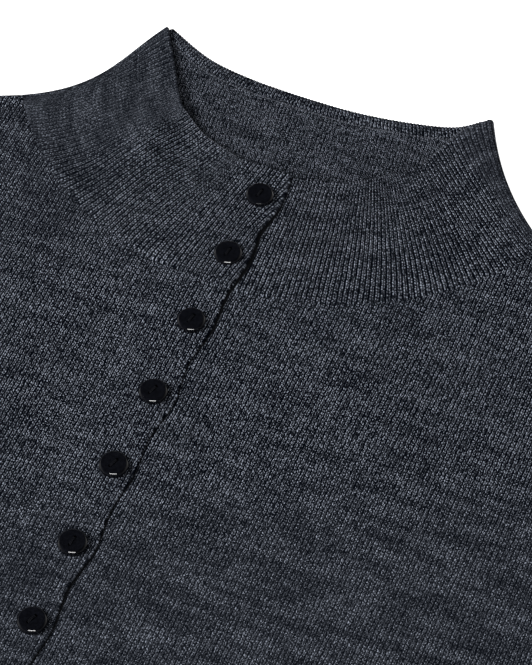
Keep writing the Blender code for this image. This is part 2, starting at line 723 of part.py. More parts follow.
def main():
    clear_scene()
    knit = make_material("knit_charcoal", (0.032, 0.035, 0.042), 0.9)
    rib = make_material("rib_charcoal", (0.030, 0.033, 0.040), 0.9)
    gloss = make_material("button_black", (0.006, 0.006, 0.007), 0.12)
    back_panel(knit)
    front_panel(knit)
    hem_rib(rib)
    collar(rib)
    turned_edge(rib)
    under_band(knit)
    overlap_band(knit)
    sleeve("left_sleeve", 1, knit)
    sleeve("right_sleeve", -1, knit)
    cuff("left_cuff", 1, rib)
    cuff("right_cuff", -1, rib)
    buttons(gloss)
    centre_on_origin()


main()
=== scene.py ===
# Looks of a fine-gauge pullover sweater, laid flat with its front up: knitted cloth, a ribbed funnel
# collar, a buttoned placket and seven glossy buttons. Plan sizes are millimetres, and are turned into
# metres when a mesh is made. +X is the wearer's left, +Y runs from the hem to the neck.
import math

import bmesh
import bpy
import numpy as np
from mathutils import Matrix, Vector


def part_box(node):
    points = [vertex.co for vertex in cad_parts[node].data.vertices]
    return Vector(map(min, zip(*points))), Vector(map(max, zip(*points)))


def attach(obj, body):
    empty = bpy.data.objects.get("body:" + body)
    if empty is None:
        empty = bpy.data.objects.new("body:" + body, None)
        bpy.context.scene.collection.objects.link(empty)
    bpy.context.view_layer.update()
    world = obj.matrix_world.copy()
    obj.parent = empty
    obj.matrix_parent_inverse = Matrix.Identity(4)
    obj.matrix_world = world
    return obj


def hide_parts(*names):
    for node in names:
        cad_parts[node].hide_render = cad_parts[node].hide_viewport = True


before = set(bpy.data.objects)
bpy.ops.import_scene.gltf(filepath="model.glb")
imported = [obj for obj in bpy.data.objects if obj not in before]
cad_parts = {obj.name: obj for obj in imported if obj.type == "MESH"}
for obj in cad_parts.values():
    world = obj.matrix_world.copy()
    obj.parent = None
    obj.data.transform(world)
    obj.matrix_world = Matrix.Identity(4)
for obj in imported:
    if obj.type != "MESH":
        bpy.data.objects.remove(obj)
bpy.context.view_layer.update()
bpy.ops.object.select_all(action="DESELECT")

mm = 0.001
hands = {1: "left", -1: "right"}
firstButton = {"x": 1.4, "y": -6.6}  # where the plan below has the top button

buttonLow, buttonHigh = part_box("button_1")
planShift = np.array(((buttonLow.x + buttonHigh.x) / 2 / mm - firstButton["x"],
                      (buttonLow.y + buttonHigh.y) / 2 / mm - firstButton["y"], 0.0))

cloth = {
    "wall": 1.5,
    "turnedWall": 0.8,
    "backLevel": 0.75,  # middle of the wall that lies on the table
    "frontLevel": 3.15,  # middle of the wall on top of it
    "bandWall": 1.1,
    "foldRadius": 1.2,
    "wale": 1.93,  # width and height of one stitch
    "course": 1.57,
    "ribPitch": 1.88,  # ribs of the collar, half way up
    "ribHeight": 0.24,
}

halfWall = cloth["wall"] / 2
foldLevel = (cloth["backLevel"] + cloth["frontLevel"]) / 2  # middle of the two layers

# soft folds of the front layer: x, y, half length, half width, heading in degrees, rise
frontFolds = (
    (-56, 12, 22, 11, 82, 1.8),
    (46, 4, 26, 10, 72, 1.1),
    (-96, -95, 60, 26, 25, 1.2),
    (105, -120, 70, 30, -18, 1.3),
    (-60, -210, 70, 26, 14, 1.1),
    (120, -260, 80, 30, 8, 1.3),
    (-115, -330, 80, 32, -12, 1.3),
    (70, -395, 90, 34, 10, 1.4),
)

# smaller creases that only the fine cloth shows, in the same columns
fineCreases = (
    (-37, 7, 24, 11, -50, -2.3),
    (-101, -7, 20, 6, -40, -0.9),
    (-85, -7, 32, 10, -46, -1.7),
    (56, 16, 9, 5, 20, -1.1),
    (40, -12, 18, 5, 24, -0.7),
    (62, -8, 14, 5, 40, -0.7),
    (31, -3, 10, 5, 10, -0.8),
    (95, 34, 24, 6, -62, 0.7),
)


def mix(a, b, t):
    return a + (b - a) * t


def ease(t):
    t = np.clip(t, 0.0, 1.0)
    return t * t * (3 - 2 * t)


# the numbers of a point side by side, each broadcast to the others
def joined(*parts):
    return np.stack(np.broadcast_arrays(*parts), -1)


# plan points with their height
def raised(plan, level):
    return joined(plan[..., 0], plan[..., 1], level)


def unit(way):
    return way / np.maximum(np.linalg.norm(way, axis=-1, keepdims=True), 1e-9)


# a smooth curve through rows of numbers that are evenly spaced in t, 0 to 1
def spline(rows, t):
    rows = np.asarray(rows, float)
    last = len(rows) - 1
    place = np.clip(np.atleast_1d(t), 0.0, 1.0) * last
    i = np.minimum(place.astype(int), last - 1)
    u = (place - i)[:, None]
    before, start = rows[np.maximum(i - 1, 0)], rows[i]
    end, after = rows[i + 1], rows[np.minimum(i + 2, last)]
    slopeIn, slopeOut = (end - before) / 2, (after - start) / 2
    return ((2 * u ** 3 - 3 * u ** 2 + 1) * start + (u ** 3 - 2 * u ** 2 + u) * slopeIn
            + (3 * u ** 2 - 2 * u ** 3) * end + (u ** 3 - u ** 2) * slopeOut)


# count points, evenly spaced by length, on a smooth curve through the rows
def spaced(rows, count):
    fine = spline(rows, np.linspace(0, 1, 401))
    run = runAlong(fine[None], 1)[0]
    goals = np.linspace(0, run[-1], count)
    return joined(*(np.interp(goals, run, numbers) for numbers in fine.T))


def runAlong(grid, axis):
    steps = np.linalg.norm(np.diff(grid, axis=axis), axis=2)
    zero = np.zeros_like(np.take(steps, [0], axis=axis))
    return np.concatenate((zero, np.cumsum(steps, axis=axis)), axis)


def softFolds(table, x, y):
    rise = np.zeros_like(x)
    for foldX, foldY, long, wide, heading, height in table:
        c, s = math.cos(math.radians(heading)), math.sin(math.radians(heading))
        along = (x - foldX) * c + (y - foldY) * s
        across = (y - foldY) * c - (x - foldX) * s
        rise = rise + height * np.exp(-(along / long) ** 2 - (across / wide) ** 2)
    return rise


# the front layer's own shape: its folds, and the doubled placket that pushes it up
def frontRise(x, y):
    ripple = 0.16 * np.sin(x / 17 + y / 31) + 0.14 * np.sin(y / 13 - x / 37)
    placket = 0.8 * np.exp(-(np.maximum(np.abs(x - 2) - 9, 0) / 18) ** 2)
    return softFolds(frontFolds, x, y) + softFolds(fineCreases, x, y) + ripple + placket


# how far the buttonhole layer lies above the front layer: more at the upper buttons
def lapRise(y):
    return 1.20 + 0.75 * ease((y + 100) / 40) * ease((-2 - y) / 12) \
        + 0.35 * np.exp(-((y + 225) / 30) ** 2)


# and how far the front sinks under it
def lapSink(x):
    return 0.6 * ease((x + 19) / 5) * ease((9.5 - x) / 5)


# where the cloth is fulled and smooth: plan lines across and down from a point on the chest, and how
# much clearness each part loses
fulled = {
    "from": (30.9, -70.6),
    "across": (0.924, 0.383),
    "rightShoulder": 0.45,
    "leftShoulder": 0.40,
    "lower": 0.70,
}


# how clearly the stitches stand out
def stitchClearness(x, y):
    x, y = x - fulled["from"][0], y - fulled["from"][1]
    c, s = fulled["across"]
    side, down = c * x + s * y, s * x - c * y
    rightShoulder = ease((-38 - side) / 45) * ease((-25 - down) / 45)
    leftShoulder = ease((side - 70) / 30) * ease((-60 - down) / 40)
    return 1 - fulled["rightShoulder"] * rightShoulder - fulled["leftShoulder"] * leftShoulder \
        - fulled["lower"] * ease((down - 40) / 100)


# ---- shells of cloth

def surfaceNormals(points, tube):
    if tube:
        across = np.roll(points, -1, axis=1) - np.roll(points, 1, axis=1)
    else:
        across = np.gradient(points, axis=1)
    return unit(np.cross(across, np.gradient(points, axis=0)))


def linked(name, data):
    piece = bpy.data.objects.new(name, data)
    bpy.context.scene.collection.objects.link(piece)
    return piece


def makePiece(name, points, faces, material):
    mesh = bpy.data.meshes.new(name)
    mesh.from_pydata(((points + planShift) * mm).tolist(), [], faces)
    mesh.shade_smooth()
    mesh.materials.append(material)
    return linked(name, mesh)


# A closed wall round the middle surface, rows by columns by 3, with rounded rims. relief raises its
# outer side, keep marks the cells that have cloth, and crisp is 1 where the stitches stand out most.
# uv has a column more than a tube's points.
def clothShell(name, middle, uv, material, wall, relief=0.0, tube=False, keep=None, crisp=1.0):
    rows, cols = middle.shape[:2]
    normal = surfaceNormals(middle, tube)
    rise = np.broadcast_to(np.asarray(relief, float), (rows, cols))
    half = wall / 2
    outer = (middle + normal * (half + rise)[..., None]).reshape(-1, 3)
    inner = (middle - normal * half).reshape(-1, 3)
    cellRows, cellCols = np.meshgrid(np.arange(rows - 1), np.arange(cols if tube else cols - 1),
                                     indexing="ij")
    if keep is not None:
        cellRows, cellCols = cellRows[keep], cellCols[keep]
    r, c = cellRows.ravel(), cellCols.ravel()
    after = (c + 1) % cols
    quads = np.stack((r * cols + c, r * cols + after, (r + 1) * cols + after, (r + 1) * cols + c), 1)
    quadUv = np.stack((uv[r, c], uv[r, c + 1], uv[r + 1, c + 1], uv[r + 1, c]), 1)
    count = rows * cols
    # edges that only one cell has are the rim
    starts, ends = quads.ravel(), np.roll(quads, -1, axis=1).ravel()
    startUv, endUv = quadUv.reshape(-1, 2), np.roll(quadUv, -1, axis=1).reshape(-1, 2)
    forward = starts.astype(np.int64) * count + ends
    rim = ~np.isin(forward, ends.astype(np.int64) * count + starts)
    rimStart, rimEnd = starts[rim], ends[rim]
    flatMiddle, flatNormal = middle.reshape(-1, 3), normal.reshape(-1, 3)
    outward = np.zeros((count, 3))
    side = unit(np.cross(flatMiddle[rimEnd] - flatMiddle[rimStart], flatNormal[rimStart]))
    np.add.at(outward, rimStart, side)
    np.add.at(outward, rimEnd, side)
    rimIds = np.unique(np.concatenate((rimStart, rimEnd)))
    out = unit(outward[rimIds])
    number = np.full(count, -1)
    number[rimIds] = np.arange(len(rimIds))
    verts, faces, corners = [outer, inner], [quads, quads[:, ::-1] + count], [quadUv, quadUv[:, ::-1]]
    loops = [(rimStart, rimEnd)]
    base = 2 * count
    rimRise = rise.reshape(-1)[rimIds]
    crisp = np.broadcast_to(np.asarray(crisp, float), (rows, cols)).reshape(-1)
    shares = [crisp, crisp] + 3 * [crisp[rimIds]]
    for turn in (40, 90, 140):
        a = math.radians(turn)
        reach = half + rimRise * (1 + math.cos(a)) / 2
        verts.append(flatMiddle[rimIds] + out * (math.sin(a) * reach)[:, None]
                     + flatNormal[rimIds] * (math.cos(a) * reach)[:, None])
        loops.append((base + number[rimStart], base + number[rimEnd]))
        base += len(rimIds)
    loops.append((rimStart + count, rimEnd + count))
    for (a0, b0), (a1, b1) in zip(loops, loops[1:]):
        faces.append(np.stack((a0, a1, b1, b0), 1))
        corners.append(np.stack((startUv[rim], startUv[rim], endUv[rim], endUv[rim]), 1))
    verts, faces, corners = np.concatenate(verts), np.concatenate(faces), np.concatenate(corners)
    used = np.unique(faces)
    renumber = np.zeros(len(verts), int)
    renumber[used] = np.arange(len(used))
    piece = makePiece(name, verts[used], renumber[faces].tolist(), material)
    layer = piece.data.uv_layers.new(name="stitches")
    layer.data.foreach_set("uv", corners.astype(np.float32).ravel())
    share = piece.data.attributes.new("crispness", "FLOAT", "POINT")
    share.data.foreach_set("value", np.concatenate(shares)[used].astype(np.float32))
    return piece


def planUv(points):
    return joined(points[..., 0] / cloth["wale"], points[..., 1] / cloth["course"])


# half the cell areas of the plan, which is the cut of a piece that lies flat
def planArea(points):
    ac = points[1:, 1:, :2] - points[:-1, :-1, :2]
    bd = points[1:, :-1, :2] - points[:-1, 1:, :2]
    return np.abs(ac[..., 0] * bd[..., 1] - ac[..., 1] * bd[..., 0]).sum() / 2 * mm * mm


# ---- paints

# one socket of a paint, so that shader maths reads as plain expressions
class Wire:
    def __init__(self, paint, socket):
        self.paint = paint
        self.socket = socket

    def maths(self, operation, first, second):
        return self.paint.node("Math", {"operation": operation}, {0: first, 1: second})

    def __rsub__(self, other):
        return self.maths("SUBTRACT", other, self)

    def step(self, low, high):
        return self.paint.node("MapRange", {"interpolation_type": "SMOOTHSTEP"},
                               {"Value": self, "From Min": low, "From Max": high})


def giveMaths(method, operation):
    setattr(Wire, method, lambda wire, other=0.0: wire.maths(operation, wire, other))


for pair in (("__add__", "ADD"), ("__radd__", "ADD"), ("__sub__", "SUBTRACT"),
             ("__mul__", "MULTIPLY"), ("__rmul__", "MULTIPLY"), ("__pow__", "POWER"),
             ("fract", "FRACT"), ("floor", "FLOOR"), ("size", "ABSOLUTE"), ("wave", "SINE")):
    giveMaths(*pair)


class Paint:
    def __init__(self, name):
        self.material = bpy.data.materials.new(name)
        self.material.use_nodes = True
        self.tree = self.material.node_tree
        self.shader = self.tree.nodes["Principled BSDF"]

    # any node: its type, its settings, the values or wires of its sockets, and the output to use
    def node(self, kind, settings, values, output=0):
        made = self.tree.nodes.new("ShaderNode" + kind)
        for key, value in settings.items():
            setattr(made, key, value)
        for key, value in values.items():
            self.feed(made.inputs[key], value)
        return Wire(self, made.outputs[output])

    def feed(self, socket, value):
        if isinstance(value, Wire):
            self.tree.links.new(value.socket, socket)
        else:
            socket.default_value = value

    def finish(self, **values):
        for key, value in values.items():
            self.feed(self.shader.inputs[key.replace("_", " ")], value)
        return self.material

    def join(self, x, y):
        return self.node("CombineXYZ", {}, {"X": x, "Y": y})

    def noise(self, place, scale, detail=2.0):
        return self.node("TexNoise", {"noise_dimensions": "2D"},
                         {"Vector": place, "Scale": scale, "Detail": detail})

    # noise through the piece's own space
    def cloud(self, scale, detail):
        place = self.node("TexCoord", {}, {}, "Object")
        return self.node("TexNoise", {}, {"Vector": place, "Scale": scale, "Detail": detail})

    def chance(self, place):
        return self.node("TexWhiteNoise", {"noise_dimensions": "2D"}, {"Vector": place})

    def blend(self, share, low, high):
        return self.node("Mix", {"data_type": "RGBA"},
                         {0: share, 6: (*low, 1.0), 7: (*high, 1.0)}, 2)


knitLook = {
    "light": (0.268, 0.294, 0.352),  # the lightest fibres
    "dark": (0.0005, 0.0012, 0.0030),  # painted shade down between the stitches
    "legSlope": 0.50,  # how steeply the legs of a stitch run up
    "legOffset": 0.30,  # how far one leg's loops lie above the other's
    "kinds": {  # how unevenly the yarn lies, in stitches, and how deep all gaps are
        "plain": (0.50, 0.68),
        "rib": (0.30, 0.78),
        "inside": (0.80, 0.35),
    },
    "gap": (0.42, 0.88),  # the gap between two wales, painted dark as shade: where it starts, where it is deepest
    "smooth": (0.35, 0.22),  # what is left of the relief on smooth cloth, and its height
    "core": 0.35,  # half width of the groove between the two legs of a stitch, painted dark as shade
    "coreDepth": 0.85,
    "ropeLeast": 0.12,  # painted shade where a leg dives under the next
    "paintedLegLight": 0.10,  # painted light and shade: the legs that lean one way are painted lighter, as light from one side would make them
    "yarn": 0.12,  # how much single legs differ in tone
    "fibre": 0.15,  # and fibres along the yarn
    "speck": 0.32,  # and single fibres of the melange
    "base": 0.40,
    "grain": 0.80,  # share of the tone that the finest specks take away
    "grainPower": 1.5,
    "grainLeast": 0.35,  # and what is left of that on smooth cloth
    "streak": 0.36,  # how much the melange differs along a course
    "power": 1.8,
    "gain": 1.01,
    "bump": 0.30,  # depth of the stitches in millimetres
    "roughness": 0.95,
}


# Knitted cloth in stitch units: U counts wales or ribs, V counts courses. The stitches stand out
# where crispness is 1, and nearly vanish where it is 0.
def knitPaint(name, kind):
    look, paint = knitLook, Paint(name)
    place = paint.node("UVMap", {"uv_map": "stitches"}, {})
    across = paint.node("SeparateXYZ", {}, {0: place}, 0)
    along = paint.node("SeparateXYZ", {}, {0: place}, 1)
    wander, gapLeast = look["kinds"][kind]
    crisp = paint.node("Attribute", {"attribute_name": "crispness"}, {}, 2)
    u = across + (paint.noise(place, 0.55) - 0.5) * wander
    v = along + (paint.noise(paint.join(along, across), 0.6) - 0.5) * (1.1 * wander)
    side = (u.fract() * 2.0 - 1.0).size()
    right = (u.fract() * 2.0).floor()
    leg = v - side * look["legSlope"] + right * look["legOffset"]
    rope = (leg.fract() * math.pi).wave() * (1.0 - look["ropeLeast"]) + look["ropeLeast"]
    dash = paint.noise(paint.join(u.floor() * 3.7, v * 0.55), 1.0, 1.0).step(0.20, 0.50)
    core = side.step(0.0, look["core"]) * look["coreDepth"] + (1.0 - look["coreDepth"])
    gap = side.step(*look["gap"]) * (dash * (1.0 - gapLeast) + gapLeast)
    height = (1.0 - gap) * core * rope
    least, level = look["smooth"]
    height = height * (crisp * (1.0 - least) + least) + (1.0 - crisp) * level
    yarn = paint.chance(paint.join((u * 2.0).floor(), leg.floor()))
    fibre = paint.noise(paint.join(u * 2.6, leg * 1.9), 1.6).step(0.30, 0.70)
    speck = paint.chance(paint.join((u * 4.5).floor(), (v * 3.5).floor()))
    streak = paint.noise(paint.join(u * 0.06, v * 0.28), 1.0).step(0.30, 0.70)
    cloud = paint.noise(place, 0.09).step(0.30, 0.70)
    melange = yarn * look["yarn"] + fibre * look["fibre"] + speck * look["speck"] + look["base"]
    # painted light and shade: one leg of each stitch lighter than the other
    shade = right * (-2.0 * look["paintedLegLight"]) + (1.0 + look["paintedLegLight"])
    # the specks thin the tone out without changing it over a larger patch
    amount = (crisp * (1.0 - look["grainLeast"]) + look["grainLeast"]) * look["grain"]
    grain = (speck ** look["grainPower"] * (look["grainPower"] + 1.0) - 1.0) * amount + 1.0
    patches = (streak * look["streak"] + (1.0 - look["streak"] / 2)) * (cloud * 0.10 + 0.95)
    # the tone follows the stitches' height, so gaps, grooves and dives are painted dark as shade; the
    # same height also drives the bump
    tone = height * melange * shade * grain * patches
    colour = paint.blend(tone ** look["power"] * look["gain"], look["dark"], look["light"])
    bump = paint.node("Bump", {}, {"Height": height + speck * 0.12, "Strength": 1.0,
                                             "Distance": look["bump"] * mm})
    return paint.finish(Base_Color=colour, Roughness=look["roughness"], Normal=bump,
                        Specular_IOR_Level=0.02)


def buttonPaint(name, dark, light):
    paint = Paint(name)
    cloudy = paint.cloud(900.0, 3.0)
    rough = cloudy.step(0.35, 0.75) * 0.04 + 0.05
    colour = paint.blend(cloudy.step(0.3, 0.7), dark, light)
    return paint.finish(Base_Color=colour, Roughness=rough, Specular_IOR_Level=0.32)


def threadPaint(name, dark, light):
    paint = Paint(name)
    twist = paint.cloud(2600.0, 2.0)
    colour = paint.blend(twist.step(0.35, 0.65), dark, light)
    bump = paint.node("Bump", {}, {"Height": twist, "Strength": 0.6, "Distance": 0.1 * mm})
    return paint.finish(Base_Color=colour, Roughness=0.8, Normal=bump, Specular_IOR_Level=0.1)


def floorPaint():
    paint = Paint("studioFloor")
    colour = paint.blend(paint.cloud(3.0, 2.0), (0.80, 0.80, 0.80), (0.84, 0.84, 0.84))
    return paint.finish(Base_Color=colour, Roughness=0.9, Emission_Color=(1.0, 1.0, 1.0, 1.0),
                        Emission_Strength=1.05)


paints = {
    "knit": knitPaint("knitCharcoal", "plain"),
    "rib": knitPaint("ribCharcoal", "rib"),
    "inside": knitPaint("insideCharcoal", "inside"),
    "button": buttonPaint("buttonGloss", (0.0016, 0.0018, 0.0028), (0.0032, 0.0036, 0.0054)),
    "edge": buttonPaint("buttonEdge", (0.0004, 0.0005, 0.0008), (0.0010, 0.0011, 0.0016)),
    "thread": threadPaint("sewingThread", (0.0025, 0.0028, 0.0040), (0.0065, 0.0070, 0.0095)),
    # painted shadow: the dark strip along the placket's free edge
    "fold": threadPaint("paintedEdgeShadow", (0.0022, 0.0025, 0.0032), (0.0090, 0.0100, 0.0125)),
    "link": threadPaint("linkingYarn", (0.030, 0.032, 0.038), (0.125, 0.135, 0.16)),
    "floor": floorPaint(),
}


def dress(piece, nodes):
    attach(piece, "root")
    if nodes:
        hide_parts(*nodes)
    print("made", piece.name, len(piece.data.polygons), "faces")


# ---- body outline

body = {
    "hem": -520,
    "hemRibTop": -460,
    "seamGap": 0.35,
    "step": 3,  # spacing of the cloth's points
    "halfWidth": 232,
    "neckPoints": (50, 40),  # along each half of the neck, front and back
    "backMiddle": 6,  # half of the strip between the two halves of the back
    "slit": 3,  # half the opening under the placket
    "seamOverlap": 0.4,  # how far hem, body and collar run past their seams
    "armholeOverlap": 0.66,
    "side": ((-520, 219), (-460, 221), (-400, 218), (-330, 216), (-265, 223),
             (-205, 233)),
    "armhole": ((233, -205), (215, -192), (200.5, -160), (194, -115), (194, -68),
                (199, -25)),
    "shoulderWrap": 7,  # the back comes over the shoulder to a seam on the front
    "fanCentre": (0, 86),  # the collar's ribs spread from here
    "fanRadius": 143.5,  # and end on this arc
    "fanEnd": {1: 61.4, -1: 58.2},
    "tuck": 4,  # how far the front runs under the collar
    "backNeck": ((126, 17.3), (95, 4), (58, -5.5), (20, -9.5), (-20, -9.5), (-58, -6.5),
                 (-95, -2), (-122, 10.4)),
}


def bodyHalf(y):
    ys, halves = np.array(body["side"]).T
    i = np.clip(np.searchsorted(ys, y) - 1, 0, len(ys) - 2)
    return mix(halves[i], halves[i + 1], ease((y - ys[i]) / (ys[i + 1] - ys[i])))


def fanPoints(degrees, radius, side):
    a = np.radians(degrees)
    return joined(body["fanCentre"][0] + side * radius * np.sin(a),
                  body["fanCentre"][1] - radius * np.cos(a))


# the armhole of one side, from the underarm to a point inset from the shoulder's fold
def armholeLine(side, inset, count):
    line = spaced(body["armhole"], 121)
    away = np.linalg.norm(line - body["armhole"][-1], axis=1)
    return spaced(line[away >= inset], count) * (side, 1.0)


def neckReach(x, y):
    return np.hypot(x - body["fanCentre"][0], y - body["fanCentre"][1]) - body["fanRadius"]


# the front sinks where it runs in under the collar
def neckDip(x, y):
    return 0.9 * ease(1 - (neckReach(x, y) + 1.5) / 3.0)


def curlDrop(distance, radius, drop):
    t = np.clip(1 - distance / radius, 0.0, 1.0)
    return drop * (1 - np.sqrt(np.maximum(1 - t * t, 0.0)))


# one half of the front or the back in plan, the row where its neck starts, and how far each point
# lies from the outer edge
def halfBody(side, centre, neck, topInset):
    step, underarm = body["step"], body["armhole"][0][1]
    lowY = np.arange(body["hemRibTop"] + body["seamOverlap"], underarm, step)
    climbY = np.linspace(underarm, neck[0][1], int((neck[0][1] - underarm) / step) + 1)[:-1]
    innerTop = np.concatenate((joined(centre, climbY), neck))
    outerLow = joined(side * (bodyHalf(lowY) - halfWall), lowY)
    outerTop = armholeLine(side, topInset, len(innerTop)) - (side * body["armholeOverlap"], 0.0)
    inner = np.concatenate((joined(centre, lowY), innerTop))[:, None]
    outer = np.concatenate((outerLow, outerTop))[:, None]
    # the last points lie close together, where the edge curls
    t = np.linspace(0, 1, int(body["halfWidth"] / step))[None, :, None] ** 0.92
    plan = inner * (1 - t) + outer * t
    return plan, len(lowY) + len(climbY), np.linalg.norm(plan - outer, axis=2)


# the rows at the side seam, where the cloth curls further down than at the armhole
def rowsOnSide(plan, neck):
    return (np.arange(len(plan)) < len(plan) - len(neck) - 45)[:, None]


# both halves in one sheet, parted above the row where the placket or the neck starts
def makeBody(name, nodes, halves, climb):
    grid = np.concatenate((halves[0][:, ::-1], halves[1]), 1)
    cells = np.ones((grid.shape[0] - 1, grid.shape[1] - 1), bool)
    cells[climb:, halves[0].shape[1] - 1] = False
    crisp = stitchClearness(grid[..., 0], grid[..., 1])
    if name == "backBody":
        # the outer side faces down here, so the columns run the other way
        grid, cells, crisp = grid[:, ::-1], cells[:, ::-1], 1.0
    piece = clothShell(name, grid, planUv(grid), paints["knit"], cloth["wall"], keep=cells,
                       crisp=crisp)
    dress(piece, nodes)
    area = sum(planArea(half) for half in halves)


def makeFrontBody():
    halves = []
    radius = body["fanRadius"] - body["tuck"]
    wrap = body["shoulderWrap"] + body["seamGap"] + halfWall
    start = math.degrees(math.asin(body["slit"] / radius))
    for side in (-1, 1):
        end = body["fanEnd"][side] - math.degrees(wrap / body["fanRadius"])
        neck = fanPoints(np.linspace(start, end, body["neckPoints"][0]), radius, side)
        plan, climb, distance = halfBody(side, side * body["slit"], neck, wrap)
        x, y = plan[..., 0], plan[..., 1]
        level = cloth["frontLevel"] + frontRise(x, y) - lapSink(x)
        sideDrop = curlDrop(distance, 2.4, level - foldLevel - halfWall)
        level = level - np.where(rowsOnSide(plan, neck), sideDrop, curlDrop(distance, 2.0, 0.7))
        halves.append(raised(plan, level - neckDip(x, y)))
    makeBody("frontBody", ("front_panel", "placket_button_band"), halves, climb)


# ---- collar

# lines from the top edge to the seam, from the placket to the side fold:
# top x, top y, middle x, middle y, seam angle about the fan's centre, lift of the solid, own lift
collar = {
    "left": ((7.9, 9.5, 8, -23, 3.2, 1.4, 1.4),
             (22, 12.8, 26, -20.8, 12, 1.5, 1.6),
             (36, 18.2, 43.5, -16, 20.5, 1.3, 1.6),
             (45, 24.8, 59, -9.5, 28.8, 1.8, 2.4),
             (52, 30.4, 73, 2, 38.8, 1.8, 2.6),
             (59.5, 38.8, 83.5, 15.5, 48, 1.5, 2.4),
             (64.8, 52.5, 90, 28, 55, 1, 2.2),
             (70, 67.2, 94.3, 37.8, 59.2, 0.4, 2),
             (79.9, 78.2, 98.1, 45.9, 61.4, 0, 1.8)),
    "right": ((8.9, 9.8, 10.4, -24, -4.2, 1.4, 1.4),
              (-3.5, 10.6, -2.5, -22.8, 1, 1.4, 1.4),
              (-14.7, 10.8, -14.8, -22, 5.9, 1.4, 1.4),
              (-22.5, 13.5, -33.5, -19.5, 16, 1.5, 1.9),
              (-36.5, 19.8, -49, -10.5, 24.5, 1.6, 2.8),
              (-46, 26.2, -62, -4.5, 33, 1.9, 3.6),
              (-51.5, 30.5, -72.5, 1.5, 40.5, 2.2, 3.9),
              (-57, 38.8, -82.5, 12.5, 48.5, 1.9, 3),
              (-64.5, 52.2, -88.8, 25, 54.5, 1, 1.8),
              (-78.3, 74.6, -92.5, 39.4, 58.2, 0, 1.2)),
    # top x, top y, seam x, and how far the middle is pulled in X
    "back": ((76.2, 76.4, 121, -5.2), (66, 68.4, 106, -1.5), (48, 63.3, 75, 0),
             (22, 59.5, 35, 0), (-6, 58.9, -8, 0), (-32, 60.2, -47, 0),
             (-54, 64.5, -82, 1.5), (-77, 75.3, -117.5, 8.2)),
    "foldBow": {1: 0.3, -1: 2.2},  # the side folds swing out, a quarter of the way down
    "leanSlope": 0.76,  # a lifted edge leans towards the camera's side of the hem
    "leanHeading": (0.383, -0.924),
    "columns": 500,
    "rows": (40, 24),  # below and above the linked row
    "linkShare": 0.23,  # that row's place between the top edge and the seam
    "topShare": 0.012,  # and that of the last row
    "ribFade": {1: (0.86, 0.97), -1: (0.61, 0.78)},  # where the ribs die away, by column
    "ribSwing": {1: 0, -1: 6.3},  # ribs that run out at the placket
    "liftPower": 2.5,
    "linkDepth": 0.55,
    "backGrid": (34, 170),  # rows and columns of the back of the collar
    "backReach": 64,  # how far down its rows start
    "backStitch": (1.66, 1.17),  # it is knitted finer than the body
    "backLean": 0.114,  # and its wales run nearly straight up
    "linkLine": 10.5,  # the turned-in edge is linked down this far below the left top
}


def frontCollarPoints(side, place, t):
    table = collar[hands[side]]
    topX, topY, midX, midY, angle, solidLift, lift = spline(table, place).T[:, :, None]
    seam = fanPoints(angle, body["fanRadius"] + body["seamOverlap"], side)
    a, b, c = (2 * t - 1) * (t - 1), 4 * t * (1 - t), t * (2 * t - 1)
    swing = side * collar["foldBow"][side] * place[:, None] ** 6 * t * (1 - t) * (1 - 2 * t) / 0.094
    x = topX * a + midX * b + seam[..., 0] * c + swing
    y = topY * a + midY * b + seam[..., 1] * c
    if side < 0:
        # the first column is the edge that laps over the other front
        toEdge = np.clip(1 - place * (len(table) - 1), 0, 1)[:, None]
        x = mix(x, bandEdge(y) - halfWall, toEdge)
    fall = (1 - t) ** collar["liftPower"]
    lean = (lift - solidLift) * fall * collar["leanSlope"]
    lap = lapRise(y) * ease((x + 40.0) / 28.0) if side < 0 else -lapSink(x)
    z = cloth["frontLevel"] + lift * fall + frontRise(x, y) + lap
    x = x + lean * collar["leanHeading"][0]
    y = y + lean * collar["leanHeading"][1]
    return joined(x, y, z)


def ribRidge(u):
    return (0.5 - 0.5 * np.cos(2 * math.pi * u)) ** 0.8


